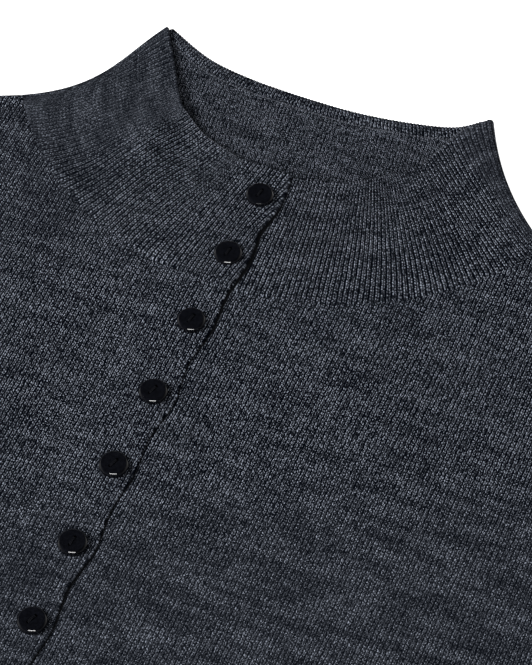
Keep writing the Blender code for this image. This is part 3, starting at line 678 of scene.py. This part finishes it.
def makeFrontCollar(side):
    below, above = collar["rows"]
    cols = collar["columns"]
    link, top = collar["linkShare"], collar["topShare"]
    t = np.concatenate((np.linspace(1.0, link, below, endpoint=False), np.linspace(link, top, above)))
    rows = len(t)
    # ribs are counted along the middle of the collar
    rough = np.linspace(0.0, 0.97, 300)
    middle = frontCollarPoints(side, rough, np.array([[0.5]]))[:, 0]
    count = runAlong(middle[None], 1)[0] / cloth["ribPitch"]
    goals = np.linspace(0, count[-1], cols)
    place = np.interp(goals, count, rough)
    points = frontCollarPoints(side, place, t[None])
    edge = frontCollarPoints(side, np.array([1.0]), t[None])[0]
    inner = frontCollarPoints(side, np.array([0.93]), t[None])[0]
    away = unit(unit(edge[:, :2] - inner[:, :2]) + (side * 0.83, 0.55))
    table = collar[hands[side]]
    radius = cloth["foldRadius"] + table[-1][-1] * (1 - t) ** 1.5 / 2
    fold = []
    for turn in np.linspace(0, 180, 15):
        a = math.radians(turn)
        plan = edge[:, :2] - away * (radius * (1 - math.sin(a)))[:, None]
        fold.append(raised(plan, cloth["backLevel"] + radius + radius * math.cos(a)))
    fold.append(fold[-1] - raised(away, 0.0))
    grid = np.concatenate((points, np.array(fold)), 0).transpose(1, 0, 2)
    run = runAlong(grid, 1)
    ribs = np.broadcast_to(goals, (rows, cols)) \
        + collar["ribSwing"][side] * (1 - t[:, None]) ** 1.3 * (1 - ease((place - 0.15) / 0.5))
    folded = ribs[:, -1:] + (run[:, cols:] - run[:, cols - 1:cols]) / cloth["ribPitch"]
    ribs = np.concatenate((ribs, folded), 1)
    fadeStart, fadeEnd = collar["ribFade"][side]
    column = np.concatenate((place, np.ones(grid.shape[1] - cols)))
    clear = 1 - 0.85 * ease((column - fadeStart + 0.1 * (1 - t[:, None])) / (fadeEnd - fadeStart))
    share = clear * ease(0.15 - neckReach(grid[..., 0], grid[..., 1]) / 3.0)
    down = runAlong(grid[::-1], 0)[::-1]
    dimples = 0.65 + 0.35 * np.sin(ribs * math.pi) * np.sin(ribs * 0.9)
    link = np.exp(-((down - collar["linkLine"]) / 0.8) ** 2) * dimples * (side > 0)
    if side < 0:
        # the ribs flatten out towards the free edge
        hemmed = ease(column / 0.09)
        share, clear = share * hemmed, clear * (0.45 + 0.55 * hemmed)
    relief = (cloth["ribHeight"] * ribRidge(ribs) - collar["linkDepth"] * link) * share
    uv = joined(side * ribs, -down / cloth["course"])
    clear = clear * stitchClearness(grid[..., 0], grid[..., 1])
    grid, relief, uv, clear = (part[:, ::side] for part in (grid, relief, uv, clear))
    name = f"collar{hands[side].title()}Front"
    piece = clothShell(name, grid, uv, paints["rib"], cloth["wall"], relief=relief, crisp=clear)
    dress(piece, ("collar",))
    planArea(grid)
    return points[:, -1]


def backSeamY(x):
    line = spaced(body["backNeck"], 200)[::-1]
    return np.interp(x, line[:, 0], line[:, 1])


# places on the back of the collar: columns run from the wearer's right to the left
def backCollarPoints(place, down, level):
    topX, topY, seamX, pull = spline(collar["back"], place).T
    top, seam = joined(topX, topY), joined(seamX, backSeamY(seamX))
    share = down[:, None, None] / np.linalg.norm(seam - top, axis=1, keepdims=True)
    plan = top + (seam - top) * share
    plan[..., 0] += 4 * pull * share[..., 0] * (1 - share[..., 0])
    return raised(plan, level)


def makeBackCollar():
    rows, columns = collar["backGrid"]
    down = np.linspace(collar["backReach"], 1.2, rows)
    grid = backCollarPoints(np.linspace(1.0, 0.0, columns), down, cloth["backLevel"])
    x, y = grid[..., 0], grid[..., 1]
    grid[..., 2] += 0.25 * np.clip(np.sin(x / 9.0) * np.sin(y / 14.0 + 1.0), 0, 1)
    wale, course = collar["backStitch"]
    uv = joined((x + collar["backLean"] * y) / wale, y / course)
    piece = clothShell("collarBack", grid, uv, paints["inside"], cloth["wall"])
    dress(piece, ("collar",))
    planArea(grid)


turned = {
    "width": 6.8,
    "ribPitch": 1.6,
    "ribHeight": 0.30,
    "ribColumns": 7,
    "outerRadius": 1.30,  # half the height of the rolled top edge
}

# linking stitches: their spacing, then half their length, width and height
beads = {
    "back": (1.6, 0.62, 0.36, 0.30),
    "edge": (1.5, 0.55, 0.30, 0.26),
    "roll": (1.1, 0.60, 0.20, 0.18),
    "backDown": 7.1,  # from the collar's top edge
    "lift": 0.12,
}


# the collar's top edge, rolled over and linked down inside the back neck
def makeTurnedEdge():
    wall, outer = cloth["turnedWall"], turned["outerRadius"]
    radius = outer - wall / 2
    rough = np.linspace(0.99, 0.01, 300)
    line = backCollarPoints(rough, np.zeros(1), 0.0)[0]
    run = runAlong(line[None], 1)[0]
    along = np.linspace(0, run[-1], int(run[-1] / turned["ribPitch"] * turned["ribColumns"]))
    roll = np.radians((-60, -30, 0, 25, 50, 75, 90))
    # past the roll the layer lies on the back, and its last loops sink into it
    reach = np.linspace(2.0, turned["width"], 9)
    down = np.concatenate((outer - radius * np.cos(roll), reach))[::-1]
    sunk = outer + radius - 0.95 * ease((reach - turned["width"]) / 3.0 + 1)
    level = np.concatenate((outer + radius * np.sin(roll), sunk))[::-1, None]
    grid = backCollarPoints(np.interp(along, run, rough), down, level)
    ribs, down = np.broadcast_arrays(along / turned["ribPitch"], down[:, None])
    relief = turned["ribHeight"] * ribRidge(ribs) * ease((turned["width"] - down) / 2.0)
    piece = clothShell("collarTurnedEdge", grid, joined(ribs, -down / cloth["course"]),
                       paints["rib"], wall, relief=relief)
    dress(piece, ("collar_turned_edge",))


# a row of linking stitches along a line of points
def makeBeads(name, line, kind):
    pitch, *half = beads[kind]
    run = runAlong(line[None], 1)[0]
    goals = np.arange(0.5, run[-1] / pitch - 0.5) * pitch
    spots = joined(*(np.interp(goals, run, numbers) for numbers in line.T))
    bpy.ops.object.select_all(action="DESELECT")
    bpy.ops.mesh.primitive_uv_sphere_add(segments=8, ring_count=6, radius=1.0)
    blank = bpy.context.object
    ball = np.array([point.co for point in blank.data.vertices])
    polygons = [list(polygon.vertices) for polygon in blank.data.polygons]
    bpy.data.objects.remove(blank, do_unlink=True)
    points, faces = [], []
    for k, (spot, way) in enumerate(zip(spots, unit(np.gradient(spots, axis=0)))):
        out = np.cross((0.0, 0.0, 1.0), way)
        size = np.array(half) * (1 + 0.16 * math.sin(2.4 * k) * math.sin(0.9 * k + 1.0))
        faces += [[corner + k * len(ball) for corner in polygon] for polygon in polygons]
        points.append(spot + (ball * size) @ np.array((way, out, np.cross(way, out))))
    dress(makePiece(name, np.concatenate(points), faces, paints["link"]), ())


def makeAllBeads(edges):
    top = (0.0, 0.0, halfWall + beads["lift"])
    place = np.linspace(0.97, 0.03, 240)
    back = backCollarPoints(place, np.array((beads["backDown"],)), cloth["backLevel"])[0]
    makeBeads("linkingBack", back + top, "back")
    right, left = edges[-1], edges[1]
    makeBeads("linkingRight", right[(right[:, 0] < -17) & (right[:, 0] > -51)] + top, "edge")
    makeBeads("linkingLeft", left[left[:, 1] > 38] + top, "roll")


# ---- placket

band = {
    "end": -276,
    "edge": 9.7,  # its free edge, and how far that swings out at each button
    "wave": 1,
    "feather": (-30, -12),  # it rises out of the front between these
    "pitch": (35.8, 40.5),  # from the first button to the second, and on from there
    "count": 7,
    "rows": 180,
    "columns": 56,
    "shadowRows": 420,
}


def buttonPlaces():
    places = [firstButton["y"]]
    for k in range(band["count"] - 1):
        places.append(places[-1] - band["pitch"][min(k, 1)])
    return np.array(places)


def bandEdge(y):
    near = np.abs(buttonPlaces() - np.asarray(y)[..., None]).min(-1)
    wave = np.cos(math.pi * np.minimum(1.0, near / (band["pitch"][1] / 2)))
    drift = 0.35 * np.sin(y / 11.0 + 0.6)
    return band["edge"] + band["wave"] * wave + 1.3 * ease((y + 50.0) / 40.0) + drift


def makeBand():
    t = np.linspace(0, 1, band["rows"])[:, None]
    f = np.linspace(0, 1, band["columns"])[None]
    left, right = band["feather"]
    bottom = band["end"] - 4.0
    # the top end runs along the collar's seam, a little under it
    rough = mix(left, band["edge"], f)
    top = body["fanCentre"][1] - np.sqrt((body["fanRadius"] - body["tuck"]) ** 2 - rough ** 2)
    y = mix(bottom, top, t)
    x = mix(left, bandEdge(y) - cloth["bandWall"] / 2, f)
    climb = ease((x - left) / (right - left))
    z = cloth["frontLevel"] + frontRise(x, y) + mix(-0.35, lapRise(y), climb)
    grid = joined(x, y, z - neckDip(x, y) - 1.9 * ease(1 - (y - bottom) / 5.0))
    piece = clothShell("placketBand", grid, planUv(grid), paints["knit"], cloth["bandWall"],
                       crisp=stitchClearness(x, y))
    dress(piece, ("placket_buttonhole_band",))
    planArea(grid)


# a painted shadow: a thin dark strip on the front along the band's free edge, standing in for the
# shade under that edge, widest between the upper buttons
def makeBandShadowStrip():
    y = np.linspace(band["end"] + 2.0, 6.5, band["shadowRows"])
    t = np.linspace(0, 1, 6)
    wide = 0.18 + 0.80 * ease((y + 98.0) / 34.0) * ease((-3.0 - y) / 12.0) \
        + 0.40 * np.exp(-((y + 225.0) / 26.0) ** 2) \
        + 0.20 * np.sin(y / 3.1) * np.sin(y / 5.3 + 1.0) - 0.25 * ease((y + 3.0) / 8.0)
    edge, y = bandEdge(y)[:, None], y[:, None]
    x = mix(edge - 3.0, edge + wide[:, None], t)
    z = cloth["frontLevel"] + halfWall + frontRise(x, y) - lapSink(x) + foldLift(y)
    grid = joined(x, y, z + 0.20)
    dress(clothShell("placketShadowStrip", grid, planUv(grid), paints["fold"], 0.16), ())


# the front of the collar climbs towards its top edge, and takes the placket along
def foldLift(y):
    bottom = body["fanCentre"][1] - body["fanRadius"]
    climb = np.clip((y - bottom) / (9.5 - bottom), 0, 1)
    return 1.4 * climb ** collar["liftPower"]


# ---- back

def makeBackBody():
    halves = []
    seamLine = spaced(body["backNeck"], 240)
    for side in (-1, 1):
        line = seamLine[seamLine[:, 0] * side > body["backMiddle"]][::-side]
        neck = spaced(line, body["neckPoints"][1]) - (0.0, 0.6 + halfWall)
        plan, climb, distance = halfBody(side, side * body["backMiddle"], neck, cloth["foldRadius"])
        rise = np.where(rowsOnSide(plan, neck), curlDrop(distance, 1.8, 0.7), 0.0)
        rows = raised(plan, cloth["backLevel"] + rise)
        halves.append(np.concatenate((rows, shoulderRows(side, plan.shape[1]))))
    makeBody("backBody", ("back_panel",), halves, climb)


# the back's last rows: over the shoulder and on to the seam on the front
def shoulderRows(side, count):
    degrees, wrap = body["fanEnd"][side], body["shoulderWrap"]
    radius = body["fanRadius"] + 0.6 + halfWall
    seamNeck = fanPoints(degrees - math.degrees(wrap / body["fanRadius"]), radius, side)
    tip = np.array(body["armhole"][-1]) * (side, 1.0)
    t = np.linspace(0, 1, count)[:, None]
    foldLine = mix(fanPoints(degrees, radius, side), tip, t)
    seamLine = mix(seamNeck, armholeLine(side, wrap, 40)[-1], t)
    rows = []
    for turn in (30, 55, 75, 90, 105, 125, 150, 180):
        a = math.radians(turn)
        plan = mix(foldLine, seamLine, cloth["foldRadius"] * (1 - math.sin(a)) / wrap)
        rows.append(raised(plan, foldLevel - cloth["foldRadius"] * math.cos(a)))
    for share in (0.4, 0.6, 0.8, 0.9):
        plan = mix(foldLine, seamLine, share)
        rise = frontRise(plan[:, 0], plan[:, 1]) * ease(share * 1.2)
        rows.append(raised(plan, cloth["frontLevel"] + rise))
    return np.array(rows)


# ---- hem, sleeves and cuffs

# a flattened tube with open ends: front rows run from one side fold to the other
def tubeGrid(front, rise, radius):
    turns = np.radians(np.linspace(0, 180, 9)[1:-1])
    folds = []
    for edge, inner in ((front[:, -1:], front[:, -2:-1]), (front[:, :1], front[:, 1:2])):
        plan = edge + unit(edge - inner) * radius * np.sin(turns)[:, None]
        folds.append(raised(plan, foldLevel + radius * np.cos(turns)))
    top, under = raised(front, cloth["frontLevel"] + rise), raised(front[:, ::-1], cloth["backLevel"])
    return np.concatenate((top, folds[0], under, folds[1][:, ::-1]), 1)


# a ribbed tube: the height of each row, and how far it lies from the seam with the smooth knit
def makeRibTube(name, node, grid, ribs, rows, fromSeam, flat):
    u = np.linspace(0, ribs, grid.shape[1] + 1)
    uv = joined(u, rows[:, None] / cloth["course"])
    relief = cloth["ribHeight"] * ribRidge(u[:-1]) * ease((fromSeam - 1.0) / 3.0)[:, None]
    piece = clothShell(name, grid, uv, paints["rib"], cloth["wall"], relief=relief, tube=True)
    dress(piece, (node,))
    flat[0] * mm
    flat[1] * mm


hem = {"ribPitch": 2.1, "columns": 860, "rows": 12}


def makeHem():
    y = np.linspace(body["hem"] + halfWall, body["hemRibTop"] - body["seamOverlap"],
                    hem["rows"])
    half = bodyHalf(y) - cloth["foldRadius"] - halfWall
    front = joined(half[:, None] * np.linspace(-1, 1, hem["columns"]), y[:, None])
    grid = tubeGrid(front, frontRise(front[..., 0], front[..., 1]), cloth["foldRadius"])
    around = 4 * half.mean()
    makeRibTube("hemRib", "hem_rib", grid, round(around / hem["ribPitch"]), y,
                body["hemRibTop"] - y, (around, y[-1] - y[0]))


sleeves = {
    # the cap fans out from the underarm: top x, top y, under x, under y
    "cap": ((199, -25, 233, -205), (240, -45, 235.3, -207.5),
            (279.5, -67.5, 238.2, -210.8), (315, -93.5, 241.6, -214.4),
            (347, -123, 245.2, -218.2)),
    "bow": (1, 0.72, 0.42, 0.18, 0),
    "shift": (0.8, 0.25),
    "length": 360,
    "steps": 8,
    "angles": (45, 52),
    "cuffWidth": 95,
    "rows": 118,
    "columns": 52,
    # place along, place across, half length, half width, lean, rise
    "folds": ((0.16, 0.70, 0.07, 0.30, 0, 1.3), (0.38, 0.35, 0.07, 0.30, 0, 1.2),
              (0.58, 0.62, 0.07, 0.30, 0, 1.5), (0.82, 0.40, 0.07, 0.30, 0, 1.1),
              (0.10, 0.82, 0.025, 0.20, 0.35, 1.1), (0.22, 0.88, 0.022, 0.16, 0.30, 1),
              (0.30, 0.72, 0.028, 0.22, 0.25, 0.9), (0.47, 0.24, 0.022, 0.22, -0.20, 1),
              (0.50, 0.52, 0.020, 0.26, -0.15, 0.9), (0.67, 0.42, 0.026, 0.30, 0.20, 0.9),
              (0.74, 0.66, 0.020, 0.22, -0.25, 0.8), (0.90, 0.55, 0.018, 0.30, 0.15, 0.9),
              (0.96, 0.35, 0.014, 0.22, -0.10, 0.8)),
}
cuffs = {"length": 60, "widths": (91, 84), "ribs": 82, "columns": 240, "rows": 13}


def sleeveEnds():
    rows = [np.array(row) for row in sleeves["cap"]]
    top, under = rows[-1][:2], rows[-1][2:]
    centre, half = (top + under) / 2, np.linalg.norm(top - under) / 2
    step = sleeves["length"] / sleeves["steps"]
    for k in range(1, sleeves["steps"] + 1):
        t = k / sleeves["steps"]
        angle = math.radians(mix(*sleeves["angles"], t))
        centre = centre + np.array((math.cos(angle), -math.sin(angle))) * step
        out = np.array((math.sin(angle), math.cos(angle))) * mix(half, sleeves["cuffWidth"] / 2, t)
        rows.append(np.concatenate((centre + out, centre - out)))
    return np.array(rows)


def makeSleeve(side):
    ends = sleeveEnds()
    t = np.linspace(0, 1, sleeves["rows"]) ** 0.97
    f = np.linspace(0, 1, sleeves["columns"])
    line = spline(ends, t)
    bow = np.interp(t * (len(ends) - 1), np.arange(len(sleeves["bow"])), sleeves["bow"])
    hole = spaced(body["armhole"], sleeves["columns"])[::-1]
    chord = mix(hole[0], hole[-1], f[:, None])
    inset = (cloth["foldRadius"] + halfWall) / 180.0
    front = mix(line[:, None, :2], line[:, None, 2:], mix(inset, 1 - inset, f)[None, :, None])
    front = front + (hole - chord)[None] * bow[:, None, None] + sleeves["shift"]
    # the first rows meet the body's edge
    start = (1 - ease(t * 30))[:, None]
    front = front - joined(0.9 * start, 1.2 * start * f ** 4)
    along, across = np.broadcast_arrays(t[:, None], f[None])
    rise = np.zeros_like(along)
    for place, sidePlace, long, wide, lean, height in sleeves["folds"]:
        a = (along - place - lean * 0.1 * (across - sidePlace)) / long
        rise = rise + height * np.exp(-a ** 2 - ((across - sidePlace) / wide) ** 2)
    rise = rise * np.sin(math.pi * across) ** 0.7 - 0.5 * (1 - ease(t * 50))[:, None]
    area = 2 * planArea(front)
    front = front[:, ::side] * (side, 1.0)
    # rows run away from the shoulder, so they are turned to keep the outer side out
    grid = tubeGrid(front, rise[:, ::side], cloth["foldRadius"])[::-1]
    around = runAlong(np.concatenate((grid, grid[:, :1]), 1), 1)[:, -1].mean()
    u = np.linspace(0, np.round(around / cloth["wale"]), grid.shape[1] + 1)
    v = runAlong(grid, 0) / cloth["course"]
    uv = joined(u, np.concatenate((v, v[:, :1]), 1))
    word = hands[side]
    piece = clothShell(f"{word}Sleeve", grid, uv, paints["knit"], cloth["wall"], tube=True)
    dress(piece, (f"{word}_sleeve",))


def makeCuff(side):
    ends = sleeveEnds()[-1]
    angle = math.radians(sleeves["angles"][1])
    reach = np.linspace(body["seamGap"] + halfWall, cuffs["length"] - halfWall, cuffs["rows"])
    wide = mix(*cuffs["widths"], np.sqrt(reach / cuffs["length"])) / 2 - cloth["foldRadius"] - halfWall
    out = wide[:, None] * np.linspace(1, -1, cuffs["columns"])
    centre = (ends[:2] + ends[2:]) / 2 + sleeves["shift"]
    front = centre + joined(reach[:, None] * math.cos(angle) + out * math.sin(angle),
                            out * math.cos(angle) - reach[:, None] * math.sin(angle))
    front = front[:, ::side] * (side, 1.0)
    grid = tubeGrid(front, np.zeros(front.shape[:2]), cloth["foldRadius"])[::-1]
    word = hands[side]
    makeRibTube(f"{word}Cuff", f"{word}_cuff", grid, cuffs["ribs"], reach[::-1], reach[::-1],
                (4 * wide.mean(), cuffs["length"]))


# ---- buttons

button = {
    "radius": 6.2,
    "thick": 2.7,
    "seat": 0.2,  # how deep it sits in the soft band
    "face": 4.25,  # radius of its lighter middle
    "chamfer": 0.85,  # the outer edge slopes up to the rim
    "chamferDrop": 0.85,
    "rim": 0.50,
    "slope": 0.90,
    "dish": 0.32,
    "hole": 0.75,
    "holePitch": 4.2,
    "sides": 56,
    "turns": (10, 8, 12, 17, 20, 6, 22),
    # how far each one was sewn off its place
    "nudges": ((0.0, 0.0), (-0.3, 0.6), (-0.6, 1.4), (-0.5, 1.1), (-0.5, 1.1), (0.0, -0.2),
               (0.5, 0.6)),
    "bevel": 0.16,
    "underside": (0.7, 0.3),  # inset and depth of the hollow underneath
    "threadRadius": 0.24,
    "strandAside": 0.26,  # how far each of the two strands lies from the middle
}


def selectFaces(mesh, test):
    work = bmesh.from_edit_mesh(mesh)
    for face in work.faces:
        face.select_set(test(face))
    work.select_flush_mode()
    bmesh.update_edit_mesh(mesh)


def activate(piece):
    bpy.ops.object.select_all(action="DESELECT")
    piece.select_set(True)
    bpy.context.view_layer.objects.active = piece


def applyModifiers(piece):
    bpy.context.view_layer.objects.active = piece
    for modifier in list(piece.modifiers):
        bpy.ops.object.modifier_apply(modifier=modifier.name)


# one button at the origin, its underside at Z 0, in metres
def makeButtonBlank():
    size = button
    bpy.ops.object.select_all(action="DESELECT")
    bpy.ops.mesh.primitive_cylinder_add(vertices=size["sides"], radius=size["radius"] * mm,
                                        depth=size["thick"] * mm,
                                        location=(0, 0, size["thick"] / 2 * mm))
    blank = bpy.context.object
    blank.name = "buttonBlank"
    bpy.ops.object.transform_apply()
    bpy.ops.object.mode_set(mode="EDIT")
    bpy.ops.mesh.select_mode(type="FACE")
    selectFaces(blank.data, lambda face: face.normal.z > 0.9)
    bpy.ops.transform.translate(value=(0, 0, -size["chamferDrop"] * mm))
    for wide, rise in ((size["chamfer"], size["chamferDrop"]), (size["rim"], 0.0),
                       (size["slope"], -0.85 * size["dish"]), (0.8, -0.15 * size["dish"])):
        bpy.ops.mesh.inset(thickness=wide * mm, depth=rise * mm)
    selectFaces(blank.data, lambda face: face.normal.z < -0.9)
    inset, depth = size["underside"]
    bpy.ops.mesh.inset(thickness=inset * mm, depth=0)
    bpy.ops.transform.translate(value=(0, 0, -depth * mm))
    bpy.ops.object.mode_set(mode="OBJECT")
    bevel = blank.modifiers.new("roundedEdges", "BEVEL")
    bevel.width = size["bevel"] * mm
    bevel.segments = 4
    bevel.limit_method = "ANGLE"
    bevel.angle_limit = math.radians(25)
    applyModifiers(blank)
    for side in (-1, 1):
        bpy.ops.mesh.primitive_cylinder_add(vertices=20, radius=size["hole"] * mm,
                                            depth=4 * size["thick"] * mm,
                                            location=(0, side * size["holePitch"] / 2 * mm, 0),
                                            rotation=(0, 0, 0.1))
        cutter = bpy.context.object
        cut = blank.modifiers.new("hole", "BOOLEAN")
        cut.operation = "DIFFERENCE"
        cut.object = cutter
        applyModifiers(blank)
        bpy.data.objects.remove(cutter, do_unlink=True)
    activate(blank)
    bpy.ops.object.shade_smooth_by_angle(angle=math.radians(38))
    for polygon in blank.data.polygons:
        polygon.material_index = int(polygon.center.xy.length > size["face"] * mm)
    return blank


# two strands from hole to hole, which go down through the button
def makeThreadBlank():
    size = button
    reach, floor = size["holePitch"] / 2, size["thick"] - size["dish"]
    strands = []
    for side in (-size["strandAside"], size["strandAside"]):
        line = bpy.data.curves.new("strand", "CURVE")
        line.dimensions = "3D"
        line.bevel_depth = size["threadRadius"] * mm
        line.bevel_resolution = 2
        line.use_fill_caps = True
        route = ((reach, 0.2), (reach - 0.1, floor - 0.3), (reach - 0.55, floor + 0.2))
        route = [(-along, up) for along, up in route] + [(0.0, floor + 0.42), *route[::-1]]
        spot = line.splines.new("NURBS")
        spot.points.add(len(route) - 1)
        for point, (along, up) in zip(spot.points, route):
            point.co = (side * mm, along * mm, up * mm, 1.0)
        spot.order_u = 3
        spot.use_endpoint_u = True
        strands.append(linked("strand", line))
    activate(strands[0])
    strands[1].select_set(True)
    bpy.ops.object.convert(target="MESH")
    bpy.ops.object.join()
    blank = bpy.context.object
    bpy.ops.object.shade_smooth()
    return blank


# a copy of a blank on its button's node, tilted as it was sewn
def placeCopy(blank, name, coats, k):
    node, nudge = f"button_{k + 1}", button["nudges"][k]
    low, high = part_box(node)
    piece = linked(name, blank.data.copy())
    tilt = (-2.0 if k == 0 else 0.6 * math.sin(2.1 * k), 1.2 * math.sin(1.7 * k + 1.0))
    piece.rotation_euler = [math.radians(angle) for angle in (*tilt, -button["turns"][k])]
    piece.location = ((low.x + high.x) / 2 + nudge[0] * mm, (low.y + high.y) / 2 + nudge[1] * mm,
                      low.z - button["seat"] * mm)
    activate(piece)
    bpy.ops.object.transform_apply()
    piece.data.materials.clear()
    for coat in coats:
        piece.data.materials.append(paints[coat])
    return piece


def makeButtons():
    blank, threads = makeButtonBlank(), makeThreadBlank()
    for k in range(band["count"]):
        piece = placeCopy(blank, f"button{k + 1}", ("button", "edge"), k)
        dress(piece, (f"button_{k + 1}",))
        dress(placeCopy(threads, f"buttonThread{k + 1}", ("thread",), k), ())
    for spare in (blank, threads):
        bpy.data.objects.remove(spare, do_unlink=True)


# ---- studio

# the camera and the floor in degrees and metres
studio = {
    "target": (30.86, -70.55),  # plan point in the middle of the picture
    "heading": 292.5,  # degrees from +X round to +Y
    "elevation": 52.81,
    "distance": 1.3272,
    "lens": 167.17,
    "sensor": 36.0,
    "floor": 8.0,
    "reach": 4.5,  # distance of the lamps
    "world": 0.85,
    # the sky is white up to the first height, and dark from the second
    "sky": ((0.08, (1.0, 1.0, 1.0)), (0.42, (0.035, 0.035, 0.038))),
}
# heading, elevation, width and height, power, and whether the buttons mirror it
lamps = {
    "keyLamp": (205.0, 42.0, (2.1, 1.5), 246.0, False),
    "fillLamp": (190.0, 60.0, (4.1, 3.0), 42.0, False),
    "glintLamp": (288.0, 34.0, (3.2, 0.24), 100.0, True),
}


# puts the camera or a lamp round the target and turns it that way
def aim(thing, target, heading, elevation, distance):
    h, e = math.radians(heading), math.radians(elevation)
    way = Vector((math.cos(h) * math.cos(e), math.sin(h) * math.cos(e), math.sin(e)))
    thing.location = target + way * distance
    thing.rotation_euler = (-way).to_track_quat("-Z", "Y").to_euler()


def makeCamera(target):
    data = bpy.data.cameras.new("camera")
    data.sensor_width, data.lens = studio["sensor"], studio["lens"]
    data.clip_start, data.clip_end = 0.05, 50.0
    camera = linked("camera", data)
    aim(camera, target, studio["heading"], studio["elevation"], studio["distance"])
    bpy.context.scene.camera = camera


def makeWorld():
    world = bpy.data.worlds.new("studioWorld")
    bpy.context.scene.world = world
    world.use_nodes = True
    nodes, links = world.node_tree.nodes, world.node_tree.links
    place = nodes.new("ShaderNodeTexCoord")
    parts = nodes.new("ShaderNodeSeparateXYZ")
    ramp = nodes.new("ShaderNodeValToRGB")
    for stop, (position, tone) in zip(ramp.color_ramp.elements, studio["sky"]):
        stop.position, stop.color = position, (*tone, 1.0)
    links.new(place.outputs["Generated"], parts.inputs[0])
    links.new(parts.outputs[2], ramp.inputs[0])
    links.new(ramp.outputs[0], nodes["Background"].inputs["Color"])
    nodes["Background"].inputs["Strength"].default_value = studio["world"]


def makeStudio():
    shift = (*studio["target"], 0.0) + planShift
    target = Vector(shift * mm)
    makeCamera(target)
    for name, (heading, elevation, size, power, mirrored) in lamps.items():
        data = bpy.data.lights.new(name, "AREA")
        data.shape = "RECTANGLE"
        data.size, data.size_y = size
        data.energy = power
        lamp = linked(name, data)
        lamp.visible_glossy = mirrored
        aim(lamp, target, heading, elevation, studio["reach"])
    makeWorld()
    bpy.ops.mesh.primitive_grid_add(x_subdivisions=4, y_subdivisions=4, size=studio["floor"],
                                    location=(0, 0, -0.0004))
    floor = bpy.context.object
    floor.name = "studioFloor"
    bpy.ops.object.transform_apply()
    floor.data.materials.append(paints["floor"])
    bpy.context.scene.view_settings.view_transform = "Standard"


makeStudio()
makeBackBody()
makeBackCollar()
makeTurnedEdge()
makeFrontBody()
collarEdges = {}
for side in (1, -1):
    collarEdges[side] = makeFrontCollar(side)
    makeSleeve(side)
    makeCuff(side)
makeAllBeads(collarEdges)
makeHem()
makeBand()
makeBandShadowStrip()
makeButtons()
